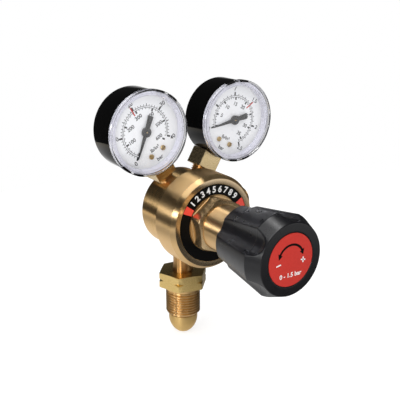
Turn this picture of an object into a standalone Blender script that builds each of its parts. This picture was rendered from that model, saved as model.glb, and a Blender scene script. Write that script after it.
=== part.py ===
"""Welding-gas pressure regulator with two Bourdon gauges, as its separate pieces.

Metres, +Z up. The origin is the tip of the inlet's bull nose. The inlet runs up +Z into a drum-shaped
body whose axis lies along Y: the knob points to -Y, the outlet to +X, and the gauges stand above.

Pieces on the body's axis are drawn in a frame with X to the right, Y up and Z forward, towards the
knob. A gauge has the same frame, turned so that its Y points away from the body. Stations along an
axis count forward from the inlet's plane, and clock angles run clockwise from up, seen from the knob.
"""

import math

import bmesh
import bpy
from mathutils import Vector

MM = 0.001

# Fits between pieces
CLEARANCE = 0.3 * MM
RUNNING = 0.6 * MM

# Where the axes lie
AXIS_HEIGHT = 86.5 * MM
GAUGE_ANGLE = 30.0
GAUGE_DISTANCE = 64.4 * MM

# Inlet nipple with its bull nose
NOSE_TIP_RADIUS = 4.0 * MM
NOSE_RADIUS = 9.6 * MM
NOSE_ROUND = 10.3 * MM
NOSE_LENGTH = 12.7 * MM
STEM_RADIUS = 6.28 * MM
NIPPLE_BORE = 2.0 * MM
FILTER_RADIUS = 2.6 * MM
FILTER_LENGTH = 9.0 * MM
FILTER_SETBACK = 2.0 * MM
INLET_PORT_DEPTH = 11.0 * MM

# Inlet nut, left-hand, with notched corners
NUT_THREAD_RADIUS = 11.45 * MM
NUT_THREAD_LENGTH = 17.0 * MM
NUT_THREAD_CHAMFER = 1.75 * MM
NUT_COLLAR_RADIUS = 11.1 * MM
NUT_COLLAR_HEIGHT = 3.4 * MM
NUT_HEX = 28.6 * MM
NUT_HEX_HEIGHT = 10.2 * MM
NUT_HEX_CHAMFER = 0.7 * MM
NUT_NOTCH_WIDTH = 2.0 * MM
NUT_NOTCH_DEPTH = 1.1 * MM
NUT_CORNER_CLOCK = -137.5

# Regulator body
BODY_RADIUS = 25.4 * MM
BODY_REAR = 8.5 * MM
BODY_SHOULDER = 16.0 * MM
BODY_CHAMFER = 1.0 * MM
SPIGOT_STEP = 0.5 * MM
SPIGOT_LENGTH = 8.0 * MM
CHAMBER_RADIUS = 19.0 * MM
CHAMBER_DEPTH = 10.5 * MM
VALVE_BORE = 6.5 * MM
REAR_WALL = 3.0 * MM
GAUGE_PORT_DEPTH = 11.4 * MM
PASSAGE_RADIUS = 1.6 * MM

# Outlet connector
OUTLET_STATION = 6.0 * MM
OUTLET_PORT_RADIUS = 6.2 * MM
OUTLET_PORT_DEPTH = 10.0 * MM
OUTLET_HEX = 17.5 * MM
OUTLET_HEX_LENGTH = 5.0 * MM
OUTLET_THREAD_RADIUS = 8.3 * MM
OUTLET_THREAD_LENGTH = 13.3 * MM
OUTLET_CORNER_CLOCK = 30.0
OUTLET_CHAMFER = 0.6 * MM
OUTLET_BORE = 3.6 * MM
OUTLET_SEAT_RADIUS = 5.2 * MM
OUTLET_SEAT_DEPTH = 2.8 * MM

# Bonnet, its hexagon, neck and printed ring
BONNET_RADIUS = 29.8 * MM
BONNET_LENGTH = 19.6 * MM
BONNET_EDGE = 0.5 * MM
BONNET_CHAMFER_LENGTH = 2.9 * MM
BONNET_CHAMFER_DEPTH = 2.1 * MM
HUB_HEX = 30.5 * MM
HUB_LENGTH = 9.1 * MM
HUB_CHAMFER = 1.4 * MM
HUB_CORNER_CLOCK = -68.0
NECK_RADIUS = 14.0 * MM
NECK_LENGTH = 25.0 * MM
NECK_CHAMFER = 1.0 * MM
PLATE_ROOM = 5.0 * MM
SPRING_BORE = 11.2 * MM
THREAD_ENGAGEMENT = 10.0 * MM
RING_RADIUS = 24.3 * MM
RING_THICKNESS = 0.3 * MM

# Diaphragm and its plate
DIAPHRAGM_THICKNESS = 0.8 * MM
SLIP_RING_THICKNESS = 0.5 * MM
SLIP_RING_WIDTH = 4.4 * MM
PLATE_RADIUS = 16.0 * MM
PLATE_THICKNESS = 2.5 * MM
SPIGOT_RADIUS = 6.8 * MM
PLATE_SPIGOT_LENGTH = 2.6 * MM
STUD_RADIUS = 2.4 * MM
STUD_TAIL = 0.6 * MM
DIAPHRAGM_NUT_HEX = 10.0 * MM
DIAPHRAGM_NUT_THICKNESS = 2.5 * MM

# Valve
NOZZLE_HEX = 13.0 * MM
NOZZLE_HEAD = 3.0 * MM
NOZZLE_THREAD = 8.0 * MM
NOZZLE_BORE = 1.7 * MM
SEAT_LIP_RADIUS = 3.0 * MM
SEAT_LIP_HEIGHT = 0.5 * MM
PIN_RADIUS = 0.9 * MM
PAD_RADIUS = 4.4 * MM
PAD_THICKNESS = 0.9 * MM
POPPET_RADIUS = 5.0 * MM
POPPET_LENGTH = 3.5 * MM
PIN_SOCKET_DEPTH = 1.5 * MM
POPPET_GUIDE_RADIUS = 2.0 * MM
POPPET_GUIDE_LENGTH = 2.0 * MM
VALVE_WIRE = 0.7 * MM
VALVE_COIL_RADIUS = 3.4 * MM
VALVE_TURNS = 3.0

# Main spring, button, ball and adjusting screw
MAIN_WIRE = 2.4 * MM
MAIN_COIL_RADIUS = 8.6 * MM
MAIN_TURNS = 5.5
MAIN_SPRING_LENGTH = 23.5 * MM
BUTTON_THICKNESS = 3.5 * MM
BUTTON_SPIGOT_LENGTH = 3.0 * MM
BALL_RADIUS = 2.5 * MM
BALL_SOCKET_DEPTH = 1.0 * MM
SCREW_RADIUS = 6.0 * MM
SCREW_HOLD = 17.5 * MM
SCREW_TRAVEL = 8.0 * MM

# Knob, its fixing screw and printed disc
KNOB_REAR = 64.5 * MM
KNOB_LENGTH = 42.6 * MM
KNOB_REAR_RADIUS = 19.4 * MM
KNOB_REAR_ROUND = 1.5 * MM
KNOB_CREST_RADIUS = 24.3 * MM
KNOB_CREST_SETBACK = 8.6 * MM
KNOB_FACE_RADIUS = 19.3 * MM
KNOB_STOP_ROOM = 2.0 * MM
KNOB_WEB = 4.0 * MM
FLUTES = 5
FLUTE_CLOCK = -59.5
FLUTE_RADIUS = 9.5 * MM
FLUTE_FLOOR_REAR = 17.2 * MM
FLUTE_FLOOR_FRONT = 19.8 * MM
FLUTE_END_SETBACK = 5.6 * MM
FIXING_RADIUS = 2.8 * MM
FIXING_DEPTH = 7.5 * MM
FIXING_HEAD_RADIUS = 5.3 * MM
FIXING_HEAD_HEIGHT = 3.2 * MM
DISC_RADIUS = 15.07 * MM
DISC_THICKNESS = 0.4 * MM
DISC_RECESS = 0.8 * MM

# Gauge case, lens and dial
CASE_RADIUS = 25.0 * MM
CASE_WALL = 1.2 * MM
CASE_REAR = 7.1 * MM
CASE_FRONT = 14.2 * MM
CASE_EDGE = 1.0 * MM
LENS_OVERHANG = 0.93 * MM
LENS_RIM = 2.1 * MM
LENS_THICKNESS = 1.6 * MM
LENS_EDGE = 0.5 * MM
LENS_SKIRT = 1.2 * MM
DIAL_FACE = 10.5 * MM
DIAL_THICKNESS = 0.6 * MM
DIAL_SCREW_SETBACK = 6.3 * MM
DIAL_SCREW_SPREAD = 17.0
DIAL_SCREW_RADIUS = 1.2 * MM
DIAL_SCREW_LENGTH = 5.8 * MM
DIAL_SCREW_HEAD_RADIUS = 2.0 * MM
DIAL_SCREW_HEAD = 1.0 * MM
DIAL_SCREW_SLOT = 0.5 * MM

# Gauge socket
SOCKET_SQUARE = 14.0 * MM
SOCKET_SQUARE_END = 35.4 * MM
SOCKET_SQUARE_EDGE = 0.8 * MM
SOCKET_THREAD_RADIUS = 5.5 * MM
SOCKET_THREAD_GAP = 3.0 * MM
SOCKET_BORE = 1.5 * MM
SOCKET_WAIST_RADIUS = 5.0 * MM
BLOCK_WIDTH = 13.0 * MM
BLOCK_TOP = 11.8 * MM
BLOCK_GAP = 1.5 * MM

# Bourdon tube and its tip
TUBE_GAP = 2.1 * MM
TUBE_THICKNESS = 2.2 * MM
TUBE_WIDTH = 8.0 * MM
TUBE_WALL = 0.4 * MM
TUBE_TIP_CLOCK = 455.0
TUBE_END_CAP = 2.0
TUBE_SECTION = ((1, 0.5), (0, 1), (-1, 0.5), (-1, -0.5), (0, -1), (1, -0.5))
TIP_WIDTH = 3.2 * MM
TIP_HEIGHT = 3.0 * MM
TIP_FINGER = 1.3 * MM
TIP_PIN_REACH = 8.1 * MM
TIP_PIN_DROP = 2.0 * MM

# Gauge movement
PINION_TEETH = 10
SECTOR_TEETH = 46
SPARE_TEETH = 2
GEAR_MODULE = 0.4 * MM
TOOTH_ADDENDUM = 0.28 * MM
TOOTH_DEDENDUM = 0.45 * MM
TOOTH_THICKNESS = 0.48 * MM
TOOTH_SLOPE = 20.0
SECTOR_CLOCK = 150.0
SECTOR_THICKNESS = 1.0 * MM
SECTOR_STATION = 0.5 * MM
SECTOR_HUB_RADIUS = 1.6 * MM
SECTOR_NECK_SPREAD = 30.0
SECTOR_ARBOR_RADIUS = 0.7 * MM
TAIL_RADIUS = 3.2 * MM
TAIL_CLOCK = 103.8
TAIL_WIDTH = 2.0 * MM
TAIL_STEP = 0.1 * MM
LINK_THICKNESS = 0.8 * MM
LINK_LIFT = 0.5 * MM
LINK_BOSS = 1.9 * MM
LINK_PIN_RADIUS = 0.5 * MM
OPEN_PIVOT_HOLE = 1.2 * MM
PINION_ARBOR_RADIUS = 0.6 * MM
PINION_WIDTH = 2.6 * MM
MOVEMENT_PLATE = 1.0 * MM
MOVEMENT_REAR = 4.0 * MM
MOVEMENT_DEPTH = 11.5 * MM
MOVEMENT_LEFT = -11.0 * MM
MOVEMENT_RIGHT = 10.0 * MM
MOVEMENT_TOP = 8.0 * MM
PILLAR_RADIUS = 1.2 * MM
PILLARS = ((-9.0 * MM, 3.0 * MM), (7.0 * MM, 6.0 * MM), (-8.5 * MM, -8.5 * MM))
HAIRSPRING_WIRE = 0.3 * MM
HAIRSPRING_PITCH = 1.0 * MM
HAIRSPRING_TURNS = 3.5
HAIRSPRING_STATION = 4.6 * MM

# Pointer
POINTER_ZERO_CLOCK = 230.0
POINTER_SWEEP = 265.0
POINTER_LENGTH = 17.0 * MM
POINTER_TAIL = 10.0 * MM
POINTER_ROOT_WIDTH = 1.8 * MM
POINTER_TIP_WIDTH = 0.4 * MM
POINTER_TAIL_WIDTH = 3.7 * MM
POINTER_HUB_RADIUS = 3.0 * MM
POINTER_HUB_HEIGHT = 1.6 * MM
POINTER_LIFT = 0.7 * MM
POINTER_THICKNESS = 0.4 * MM
POINTER_BLADE_LIFT = 0.2 * MM

# Roundness of turned pieces, in segments
COARSE = 8
SMALL = 12
MEDIUM = 18
LARGE = 36
ARC_STEPS = 5
EDGE_STEPS = 3
COIL_POINTS = 8
COIL_END_GAP = 0.6 * MM
OVERCUT = 1.0 * MM

# Colour, roughness and metallic value of each finish
FINISHES = {
    "turned_brass": ((0.68, 0.47, 0.20, 1.0), 0.22, 1.0),
    "nut_brass": ((0.62, 0.46, 0.16, 1.0), 0.32, 1.0),
    "steel": ((0.55, 0.55, 0.56, 1.0), 0.30, 1.0),
    "bronze": ((0.45, 0.27, 0.12, 1.0), 0.60, 1.0),
    "rubber": ((0.03, 0.03, 0.03, 1.0), 0.80, 0.0),
    "black_plastic": ((0.02, 0.02, 0.023, 1.0), 0.42, 0.0),
    "black_enamel": ((0.01, 0.01, 0.01, 1.0), 0.12, 0.0),
    "black_print": ((0.015, 0.015, 0.015, 1.0), 0.45, 0.0),
    "red_print": ((0.72, 0.04, 0.03, 1.0), 0.40, 0.0),
    "dial_white": ((0.86, 0.87, 0.87, 1.0), 0.50, 0.0),
    "pointer_black": ((0.02, 0.02, 0.02, 1.0), 0.40, 0.0),
    "clear_plastic": ((0.90, 0.93, 0.95, 0.25), 0.05, 0.0),
}


def clock(radius, degrees):
    """A point at a clock angle, clockwise from up."""
    angle = math.radians(degrees)
    return Vector((radius * math.sin(angle), radius * math.cos(angle)))


def give_finish(obj, finish):
    colour, roughness, metallic = FINISHES[finish]
    material = bpy.data.materials.new(f"{obj.name}_{finish}")
    material.use_nodes = True
    shader = material.node_tree.nodes["Principled BSDF"]
    shader.inputs["Base Color"].default_value = colour
    shader.inputs["Roughness"].default_value = roughness
    shader.inputs["Metallic"].default_value = metallic
    shader.inputs["Alpha"].default_value = colour[3]
    obj.data.materials.append(material)


def add_object(name, data, parent, finish=None):
    obj = bpy.data.objects.new(name, data)
    bpy.context.scene.collection.objects.link(obj)
    obj.parent = parent
    if finish:
        give_finish(obj, finish)
    return obj


def add_frame(name, parent=None, location=(0, 0, 0), rotation=(0, 0, 0)):
    frame = add_object(name, None, parent)
    frame.location = location
    frame.rotation_euler = rotation
    return frame


def add_mesh(name, bm, parent, finish):
    bmesh.ops.remove_doubles(bm, verts=bm.verts, dist=1e-7)
    bmesh.ops.recalc_face_normals(bm, faces=bm.faces)
    mesh = bpy.data.meshes.new(name)
    bm.to_mesh(mesh)
    bm.free()
    mesh.shade_smooth()
    mesh.set_sharp_from_angle(angle=math.radians(30))
    return add_object(name, mesh, parent, finish)


def turned(name, outline, parent, finish=None, segments=LARGE):
    """Spins an outline of (radius, station) points about the local Z axis.

    An outline that starts and ends on the axis is solid. Any other is closed into a ring.
    """
    bm = bmesh.new()
    verts = [bm.verts.new((radius, 0, station)) for radius, station in outline]
    pairs = list(zip(verts, verts[1:]))
    if outline[0][0] > 0 or outline[-1][0] > 0:
        pairs.append((verts[-1], verts[0]))
    edges = [bm.edges.new(pair) for pair in pairs]
    bmesh.ops.spin(bm, geom=verts + edges, cent=(0, 0, 0), axis=(0, 0, 1), dvec=(0, 0, 0),
                   angle=math.tau, steps=segments, use_merge=True)
    return add_mesh(name, bm, parent, finish)


def cylinder(name, radius, low, high, parent, finish=None, segments=SMALL):
    outline = [(0, low), (radius, low), (radius, high), (0, high)]
    return turned(name, outline, parent, finish, segments)


def tube(name, inner, outer, low, high, parent, finish=None, segments=LARGE):
    outline = [(inner, low), (outer, low), (outer, high), (inner, high)]
    return turned(name, outline, parent, finish, segments)


def prism(name, outline, low, high, parent, finish=None):
    """Extrudes a flat outline of (x, y) points from one station to another."""
    bm = bmesh.new()
    face = bm.faces.new([bm.verts.new((x, y, low)) for x, y in outline])
    grown = bmesh.ops.extrude_face_region(bm, geom=[face])
    moved = [item for item in grown["geom"] if isinstance(item, bmesh.types.BMVert)]
    bmesh.ops.translate(bm, verts=moved, vec=(0, 0, high - low))
    return add_mesh(name, bm, parent, finish)


def rectangle(left, right, bottom, top):
    return [(left, bottom), (right, bottom), (right, top), (left, top)]


def hexagon(across_flats, corner_clock):
    corner = corner_radius(across_flats)
    return [clock(corner, corner_clock + 60 * side) for side in range(6)]


def corner_radius(across_flats):
    return across_flats / 2 / math.cos(math.pi / 6)


def arc(centre, radius, start, end, steps=ARC_STEPS, height=None):
    """Outline points on an arc, by angle in degrees from the radial direction.

    A height, where it is given, is the radius along the axis, and makes the arc elliptical.
    """
    rise = height or radius
    points = []
    for step in range(steps + 1):
        angle = math.radians(start + (end - start) * step / steps)
        points.append((centre[0] + radius * math.cos(angle), centre[1] + rise * math.sin(angle)))
    return points


def bar(start, end, start_radius, end_radius, steps=ARC_STEPS):
    """A flat outline round two discs, such as a link's."""
    heading = math.degrees(math.atan2(end[1] - start[1], end[0] - start[0]))
    return (arc(start, start_radius, heading + 90, heading + 270, steps)
            + arc(end, end_radius, heading - 90, heading + 90, steps))


def combine(target, tool, operation):
    """Joins, cuts or trims a piece with a hidden tool shape."""
    modifier = target.modifiers.new(tool.name, "BOOLEAN")
    modifier.operation = operation
    modifier.solver = "EXACT"
    modifier.object = tool
    tool.hide_render = True
    tool.display_type = "WIRE"
    return target


def cut(target, *tools):
    for tool in tools:
        combine(target, tool, "DIFFERENCE")
    return target


def join(target, *tools):
    for tool in tools:
        combine(target, tool, "UNION")
    return target


def trim(target, tool):
    return combine(target, tool, "INTERSECT")


def aim(obj, direction):
    """Points a shape's local Z axis along a direction of its parent's frame."""
    obj.rotation_mode = "QUATERNION"
    obj.rotation_quaternion = Vector(direction).to_track_quat("Z", "Y")
    return obj


def radial_hole(name, radius, inner, outer, degrees, parent, segments=SMALL, station=0):
    """A cutter across the body's axis, at a clock angle."""
    hole = cylinder(name, radius, inner, outer, parent, segments=segments)
    hole.location = (0, 0, station)
    return aim(hole, (*clock(1, degrees), 0))


def axial_hole(name, radius, low, high, centre, parent, segments=COARSE):
    hole = cylinder(name, radius, low, high, parent, segments=segments)
    hole.location = (centre[0], centre[1], 0)
    return hole


def wire(name, points, thickness, parent, finish, resolution=1):
    """A round wire along a line of points."""
    curve = bpy.data.curves.new(name, "CURVE")
    curve.dimensions = "3D"
    curve.bevel_depth = thickness / 2
    curve.bevel_resolution = resolution
    curve.use_fill_caps = True
    spline = curve.splines.new("POLY")
    spline.points.add(len(points) - 1)
    for target, point in zip(spline.points, points):
        target.co = (*point, 1)
    return add_object(name, curve, parent, finish)


def coil_points(radius, low, high, turns, thickness):
    """A compression spring's line: close end turns, and even pitch between them."""
    end_pitch = thickness + COIL_END_GAP
    pitch = (high - low - 2 * end_pitch) / (turns - 2)
    points = []
    steps = round(turns * COIL_POINTS)
    for step in range(steps + 1):
        turn = turns * step / steps
        rise = end_pitch * min(turn, 1) + pitch * min(max(turn - 1, 0), turns - 2)
        rise += end_pitch * max(turn - turns + 1, 0)
        angle = math.tau * turn
        points.append(Vector((radius * math.cos(angle), radius * math.sin(angle), low + rise)))
    return points


def spiral_points(inner, pitch, turns, station):
    points = []
    steps = round(turns * COIL_POINTS)
    for step in range(steps + 1):
        turn = turns * step / steps
        radius = inner + pitch * turn
        angle = math.tau * turn
        points.append(Vector((radius * math.cos(angle), radius * math.sin(angle), station)))
    return points


def print_self_gap(name, points, thickness):
    """Prints the least gap between a wire's neighbouring turns."""
    apart = COIL_POINTS // 2
    gaps = []
    for first, point in enumerate(points):
        for other in points[first + apart:]:
            gaps.append((point - other).length - thickness)
    print(f"{name}: least gap to itself {min(gaps) / MM:.2f} mm")


# Stations along the body's axis that more than one piece shares
BODY_FRONT = BODY_SHOULDER + SPIGOT_LENGTH
CHAMBER_FLOOR = BODY_FRONT - CHAMBER_DEPTH
VALVE_BORE_FLOOR = REAR_WALL - BODY_REAR
SPIGOT_OUTER = BODY_RADIUS - SPIGOT_STEP
SKIRT_BORE = SPIGOT_OUTER + CLEARANCE
BONNET_REAR = BODY_SHOULDER + CLEARANCE
BONNET_FRONT = BONNET_REAR + BONNET_LENGTH
HUB_FRONT = BONNET_FRONT + HUB_LENGTH
NECK_FRONT = HUB_FRONT + NECK_LENGTH
DIAPHRAGM_REAR = BODY_FRONT + CLEARANCE
DIAPHRAGM_FRONT = DIAPHRAGM_REAR + DIAPHRAGM_THICKNESS
SLIP_RING_REAR = DIAPHRAGM_FRONT + CLEARANCE
SLIP_RING_FRONT = SLIP_RING_REAR + SLIP_RING_THICKNESS
BONNET_SEAT = SLIP_RING_FRONT + CLEARANCE
PLATE_ROOM_FRONT = BONNET_SEAT + PLATE_ROOM
SPRING_BORE_FRONT = NECK_FRONT - THREAD_ENGAGEMENT
CLAMP_RADIUS = SKIRT_BORE - RUNNING
PLATE_REAR = DIAPHRAGM_FRONT + CLEARANCE
PLATE_FRONT = PLATE_REAR + PLATE_THICKNESS
STUD_HOLE = STUD_RADIUS + CLEARANCE
DIAPHRAGM_NUT_FRONT = DIAPHRAGM_REAR - CLEARANCE
DIAPHRAGM_NUT_REAR = DIAPHRAGM_NUT_FRONT - DIAPHRAGM_NUT_THICKNESS
STUD_END = DIAPHRAGM_NUT_REAR - STUD_TAIL
NOZZLE_SHOULDER = CHAMBER_FLOOR + CLEARANCE
NOZZLE_REAR = NOZZLE_SHOULDER - NOZZLE_THREAD
SEAT_LIP_END = NOZZLE_REAR - SEAT_LIP_HEIGHT
PAD_FRONT = SEAT_LIP_END - CLEARANCE
PAD_REAR = PAD_FRONT - PAD_THICKNESS
POPPET_FRONT = PAD_REAR - CLEARANCE
POPPET_REAR = POPPET_FRONT - POPPET_LENGTH
PIN_HOLE = PIN_RADIUS + CLEARANCE
MAIN_SPRING_REAR = PLATE_FRONT + CLEARANCE
BUTTON_REAR = MAIN_SPRING_REAR + MAIN_SPRING_LENGTH + CLEARANCE
BUTTON_FRONT = BUTTON_REAR + BUTTON_THICKNESS
BUTTON_RADIUS = SPRING_BORE - RUNNING
BALL_CENTRE = BUTTON_FRONT - BALL_SOCKET_DEPTH + CLEARANCE + BALL_RADIUS
BALL_SOCKET_RADIUS = BALL_RADIUS + CLEARANCE
SCREW_SOCKET_FLOOR = BALL_CENTRE + BALL_RADIUS + CLEARANCE
SCREW_REAR = SCREW_SOCKET_FLOOR - BALL_SOCKET_DEPTH
SCREW_HOLE = SCREW_RADIUS + CLEARANCE
KNOB_FRONT = KNOB_REAR + KNOB_LENGTH
KNOB_BORE = NECK_RADIUS + RUNNING
KNOB_BORE_END = NECK_FRONT + SCREW_TRAVEL + KNOB_STOP_ROOM
SCREW_FRONT = KNOB_BORE_END + SCREW_HOLD
KNOB_WEB_REAR = SCREW_FRONT + CLEARANCE
KNOB_WEB_FRONT = KNOB_WEB_REAR + KNOB_WEB
FIXING_HOLE = FIXING_RADIUS + CLEARANCE
FIXING_HEAD_REAR = KNOB_WEB_FRONT + CLEARANCE

# Stations in a gauge
CASE_INNER = CASE_RADIUS - CASE_WALL
CASE_FLOOR = CASE_WALL - CASE_REAR
LENS_RADIUS = CASE_RADIUS + LENS_OVERHANG
LENS_REAR = CASE_FRONT + CLEARANCE
LENS_FRONT = LENS_REAR + LENS_RIM
SKIRT_OUTER = CASE_INNER - CLEARANCE
DIAL_RADIUS = CASE_INNER - RUNNING
DIAL_REAR = DIAL_FACE - DIAL_THICKNESS
DIAL_SCREW_HOLE = DIAL_SCREW_RADIUS + CLEARANCE
SCREW_HEAD_SEAT = DIAL_FACE + CLEARANCE
BLOCK_FRONT = DIAL_REAR - CLEARANCE
BLOCK_REAR = CASE_FLOOR + CLEARANCE
BLOCK_SIDE = BLOCK_WIDTH / 2
BLOCK_BOTTOM = CASE_INNER - BLOCK_GAP
DIAL_SCREW_CIRCLE = BLOCK_BOTTOM - DIAL_SCREW_SETBACK
TUBE_RADIUS = CASE_INNER - TUBE_GAP - TUBE_THICKNESS / 2
TIP_PIN = (TUBE_RADIUS - TIP_PIN_REACH, -TIP_PIN_DROP)
MOVEMENT_BOTTOM = CLEARANCE - BLOCK_TOP
REAR_PLATE_FRONT = MOVEMENT_PLATE - MOVEMENT_REAR
FRONT_PLATE_REAR = MOVEMENT_DEPTH - MOVEMENT_PLATE - MOVEMENT_REAR
PINION_PITCH_RADIUS = PINION_TEETH * GEAR_MODULE / 2
SECTOR_PITCH_RADIUS = SECTOR_TEETH * GEAR_MODULE / 2
SECTOR_TEETH_CUT = math.ceil(PINION_TEETH * POINTER_SWEEP / 360) + SPARE_TEETH
SECTOR_PIVOT = clock(PINION_PITCH_RADIUS + SECTOR_PITCH_RADIUS, SECTOR_CLOCK)
SECTOR_FRONT = SECTOR_STATION + SECTOR_THICKNESS
TAIL_PIN = clock(TAIL_RADIUS, TAIL_CLOCK)
LINK_REAR = SECTOR_FRONT + LINK_LIFT
LINK_FRONT = LINK_REAR + LINK_THICKNESS
LINK_PIN_FRONT = LINK_FRONT + CLEARANCE
PINION_HOLE = PINION_ARBOR_RADIUS + CLEARANCE
ARBOR_REAR = CLEARANCE - MOVEMENT_REAR
POINTER_REAR = DIAL_FACE + POINTER_LIFT
POINTER_FRONT = POINTER_REAR + POINTER_HUB_HEIGHT
POINTER_BORE_END = POINTER_FRONT - POINTER_THICKNESS
ARBOR_FRONT = POINTER_BORE_END - CLEARANCE
SOCKET_END = GAUGE_DISTANCE - BODY_RADIUS + GAUGE_PORT_DEPTH - SOCKET_THREAD_GAP


def inlet_nipple(frame):
    """The stem from the cylinder valve up into the body, with its round nose and through bore."""
    rise = NOSE_ROUND
    swell = NOSE_RADIUS - NOSE_TIP_RADIUS
    round_radius = (rise * rise + swell * swell) / (2 * swell)
    start = -math.degrees(math.asin(rise / round_radius))
    centre = (NOSE_RADIUS - round_radius, NOSE_ROUND)
    top = AXIS_HEIGHT - BODY_RADIUS + INLET_PORT_DEPTH - CLEARANCE
    pocket = FILTER_RADIUS + CLEARANCE
    pocket_end = FILTER_SETBACK + FILTER_LENGTH + CLEARANCE
    outline = [(pocket, 0)]
    outline += arc(centre, round_radius, start, 0)
    outline += [(NOSE_RADIUS, NOSE_LENGTH), (STEM_RADIUS, NOSE_LENGTH), (STEM_RADIUS, top),
                (NIPPLE_BORE, top), (NIPPLE_BORE, pocket_end), (pocket, pocket_end)]
    turned("inlet_nipple", outline, frame, "turned_brass", MEDIUM + COARSE)
    cylinder("inlet_filter", FILTER_RADIUS, FILTER_SETBACK, FILTER_SETBACK + FILTER_LENGTH, frame,
             "bronze", COARSE)


def inlet_nut(frame):
    """The nut that hangs on the nose's shoulder: thread below, hexagon above."""
    base = NOSE_LENGTH + CLEARANCE
    collar = base + NUT_THREAD_LENGTH
    hex_base = collar + NUT_COLLAR_HEIGHT
    top = hex_base + NUT_HEX_HEIGHT
    notch = hex_base + NUT_HEX_HEIGHT / 2
    corner = corner_radius(NUT_HEX)
    chamfer_depth = corner - NUT_HEX / 2
    bore = STEM_RADIUS + CLEARANCE
    outline = [
        (bore, base),
        (NUT_THREAD_RADIUS - NUT_THREAD_CHAMFER, base),
        (NUT_THREAD_RADIUS, base + NUT_THREAD_CHAMFER),
        (NUT_THREAD_RADIUS, collar),
        (NUT_COLLAR_RADIUS, collar),
        (NUT_COLLAR_RADIUS, hex_base),
        (corner, hex_base),
        (corner, notch - NUT_NOTCH_WIDTH / 2),
        (corner - NUT_NOTCH_DEPTH, notch),
        (corner, notch + NUT_NOTCH_WIDTH / 2),
        (corner, top - NUT_HEX_CHAMFER),
        (corner - chamfer_depth, top),
        (bore, top),
    ]
    nut = turned("inlet_nut", outline, frame, "nut_brass", MEDIUM + COARSE)
    hexes = prism("nut_hexagon", hexagon(NUT_HEX, NUT_CORNER_CLOCK), base - OVERCUT, top + OVERCUT, frame)
    trim(nut, hexes)


def regulator_body(frame):
    """The drum, with its low-pressure chamber, valve bore, ports and passages."""
    rear = -BODY_REAR
    outline = [
        (0, rear),
        (BODY_RADIUS - BODY_CHAMFER, rear),
        (BODY_RADIUS, rear + BODY_CHAMFER),
        (BODY_RADIUS, BODY_SHOULDER),
        (SPIGOT_OUTER, BODY_SHOULDER),
        (SPIGOT_OUTER, BODY_FRONT),
        (CHAMBER_RADIUS, BODY_FRONT),
        (CHAMBER_RADIUS, CHAMBER_FLOOR),
        (VALVE_BORE, CHAMBER_FLOOR),
        (VALVE_BORE, VALVE_BORE_FLOOR),
        (0, VALVE_BORE_FLOOR),
    ]
    body = turned("regulator_body", outline, frame, "turned_brass")
    outside = BODY_RADIUS + OVERCUT
    gauge_port = SOCKET_THREAD_RADIUS + CLEARANCE
    ports = (
        ("inlet", 180.0, 0, STEM_RADIUS + CLEARANCE, INLET_PORT_DEPTH, False),
        ("high_gauge", -GAUGE_ANGLE, 0, gauge_port, GAUGE_PORT_DEPTH, False),
        ("low_gauge", GAUGE_ANGLE, 0, gauge_port, GAUGE_PORT_DEPTH, True),
        ("outlet", 90.0, OUTLET_STATION, OUTLET_PORT_RADIUS, OUTLET_PORT_DEPTH, True),
    )
    for name, degrees, station, radius, depth, low_pressure in ports:
        floor = BODY_RADIUS - depth
        cut(body, radial_hole(f"{name}_port", radius, floor, outside, degrees, frame, station=station))
        if low_pressure:
            centre = clock(floor + PASSAGE_RADIUS, degrees)
            passage = axial_hole(f"{name}_passage", PASSAGE_RADIUS, station, CHAMBER_FLOOR + OVERCUT,
                                 centre, frame)
        else:
            passage = radial_hole(f"{name}_passage", PASSAGE_RADIUS, VALVE_BORE - OVERCUT,
                                  floor + OVERCUT, degrees, frame, COARSE)
        cut(body, passage)


def outlet_connector(frame):
    """The hose connector: hexagon, male thread and a cone seat at its mouth."""
    inner = BODY_RADIUS - OUTLET_PORT_DEPTH + 2 * PASSAGE_RADIUS + CLEARANCE
    shoulder = BODY_RADIUS + CLEARANCE
    hex_end = shoulder + OUTLET_HEX_LENGTH
    end = hex_end + OUTLET_THREAD_LENGTH
    flat = OUTLET_HEX / 2
    blank = corner_radius(OUTLET_HEX) + CLEARANCE
    outline = [
        (OUTLET_BORE, inner),
        (OUTLET_PORT_RADIUS - CLEARANCE, inner),
        (OUTLET_PORT_RADIUS - CLEARANCE, shoulder),
        (flat, shoulder),
        (blank, shoulder + OUTLET_CHAMFER),
        (blank, hex_end - OUTLET_CHAMFER),
        (flat, hex_end),
        (OUTLET_THREAD_RADIUS, hex_end),
        (OUTLET_THREAD_RADIUS, end - OUTLET_CHAMFER),
        (OUTLET_THREAD_RADIUS - OUTLET_CHAMFER, end),
        (OUTLET_SEAT_RADIUS, end),
        (OUTLET_BORE, end - OUTLET_SEAT_DEPTH),
    ]
    connector = turned("outlet_connector", outline, frame, "turned_brass", MEDIUM)
    hexes = prism("outlet_hexagon", hexagon(OUTLET_HEX, OUTLET_CORNER_CLOCK), inner - OVERCUT,
                  end + OVERCUT, frame)
    trim(connector, hexes)


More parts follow.
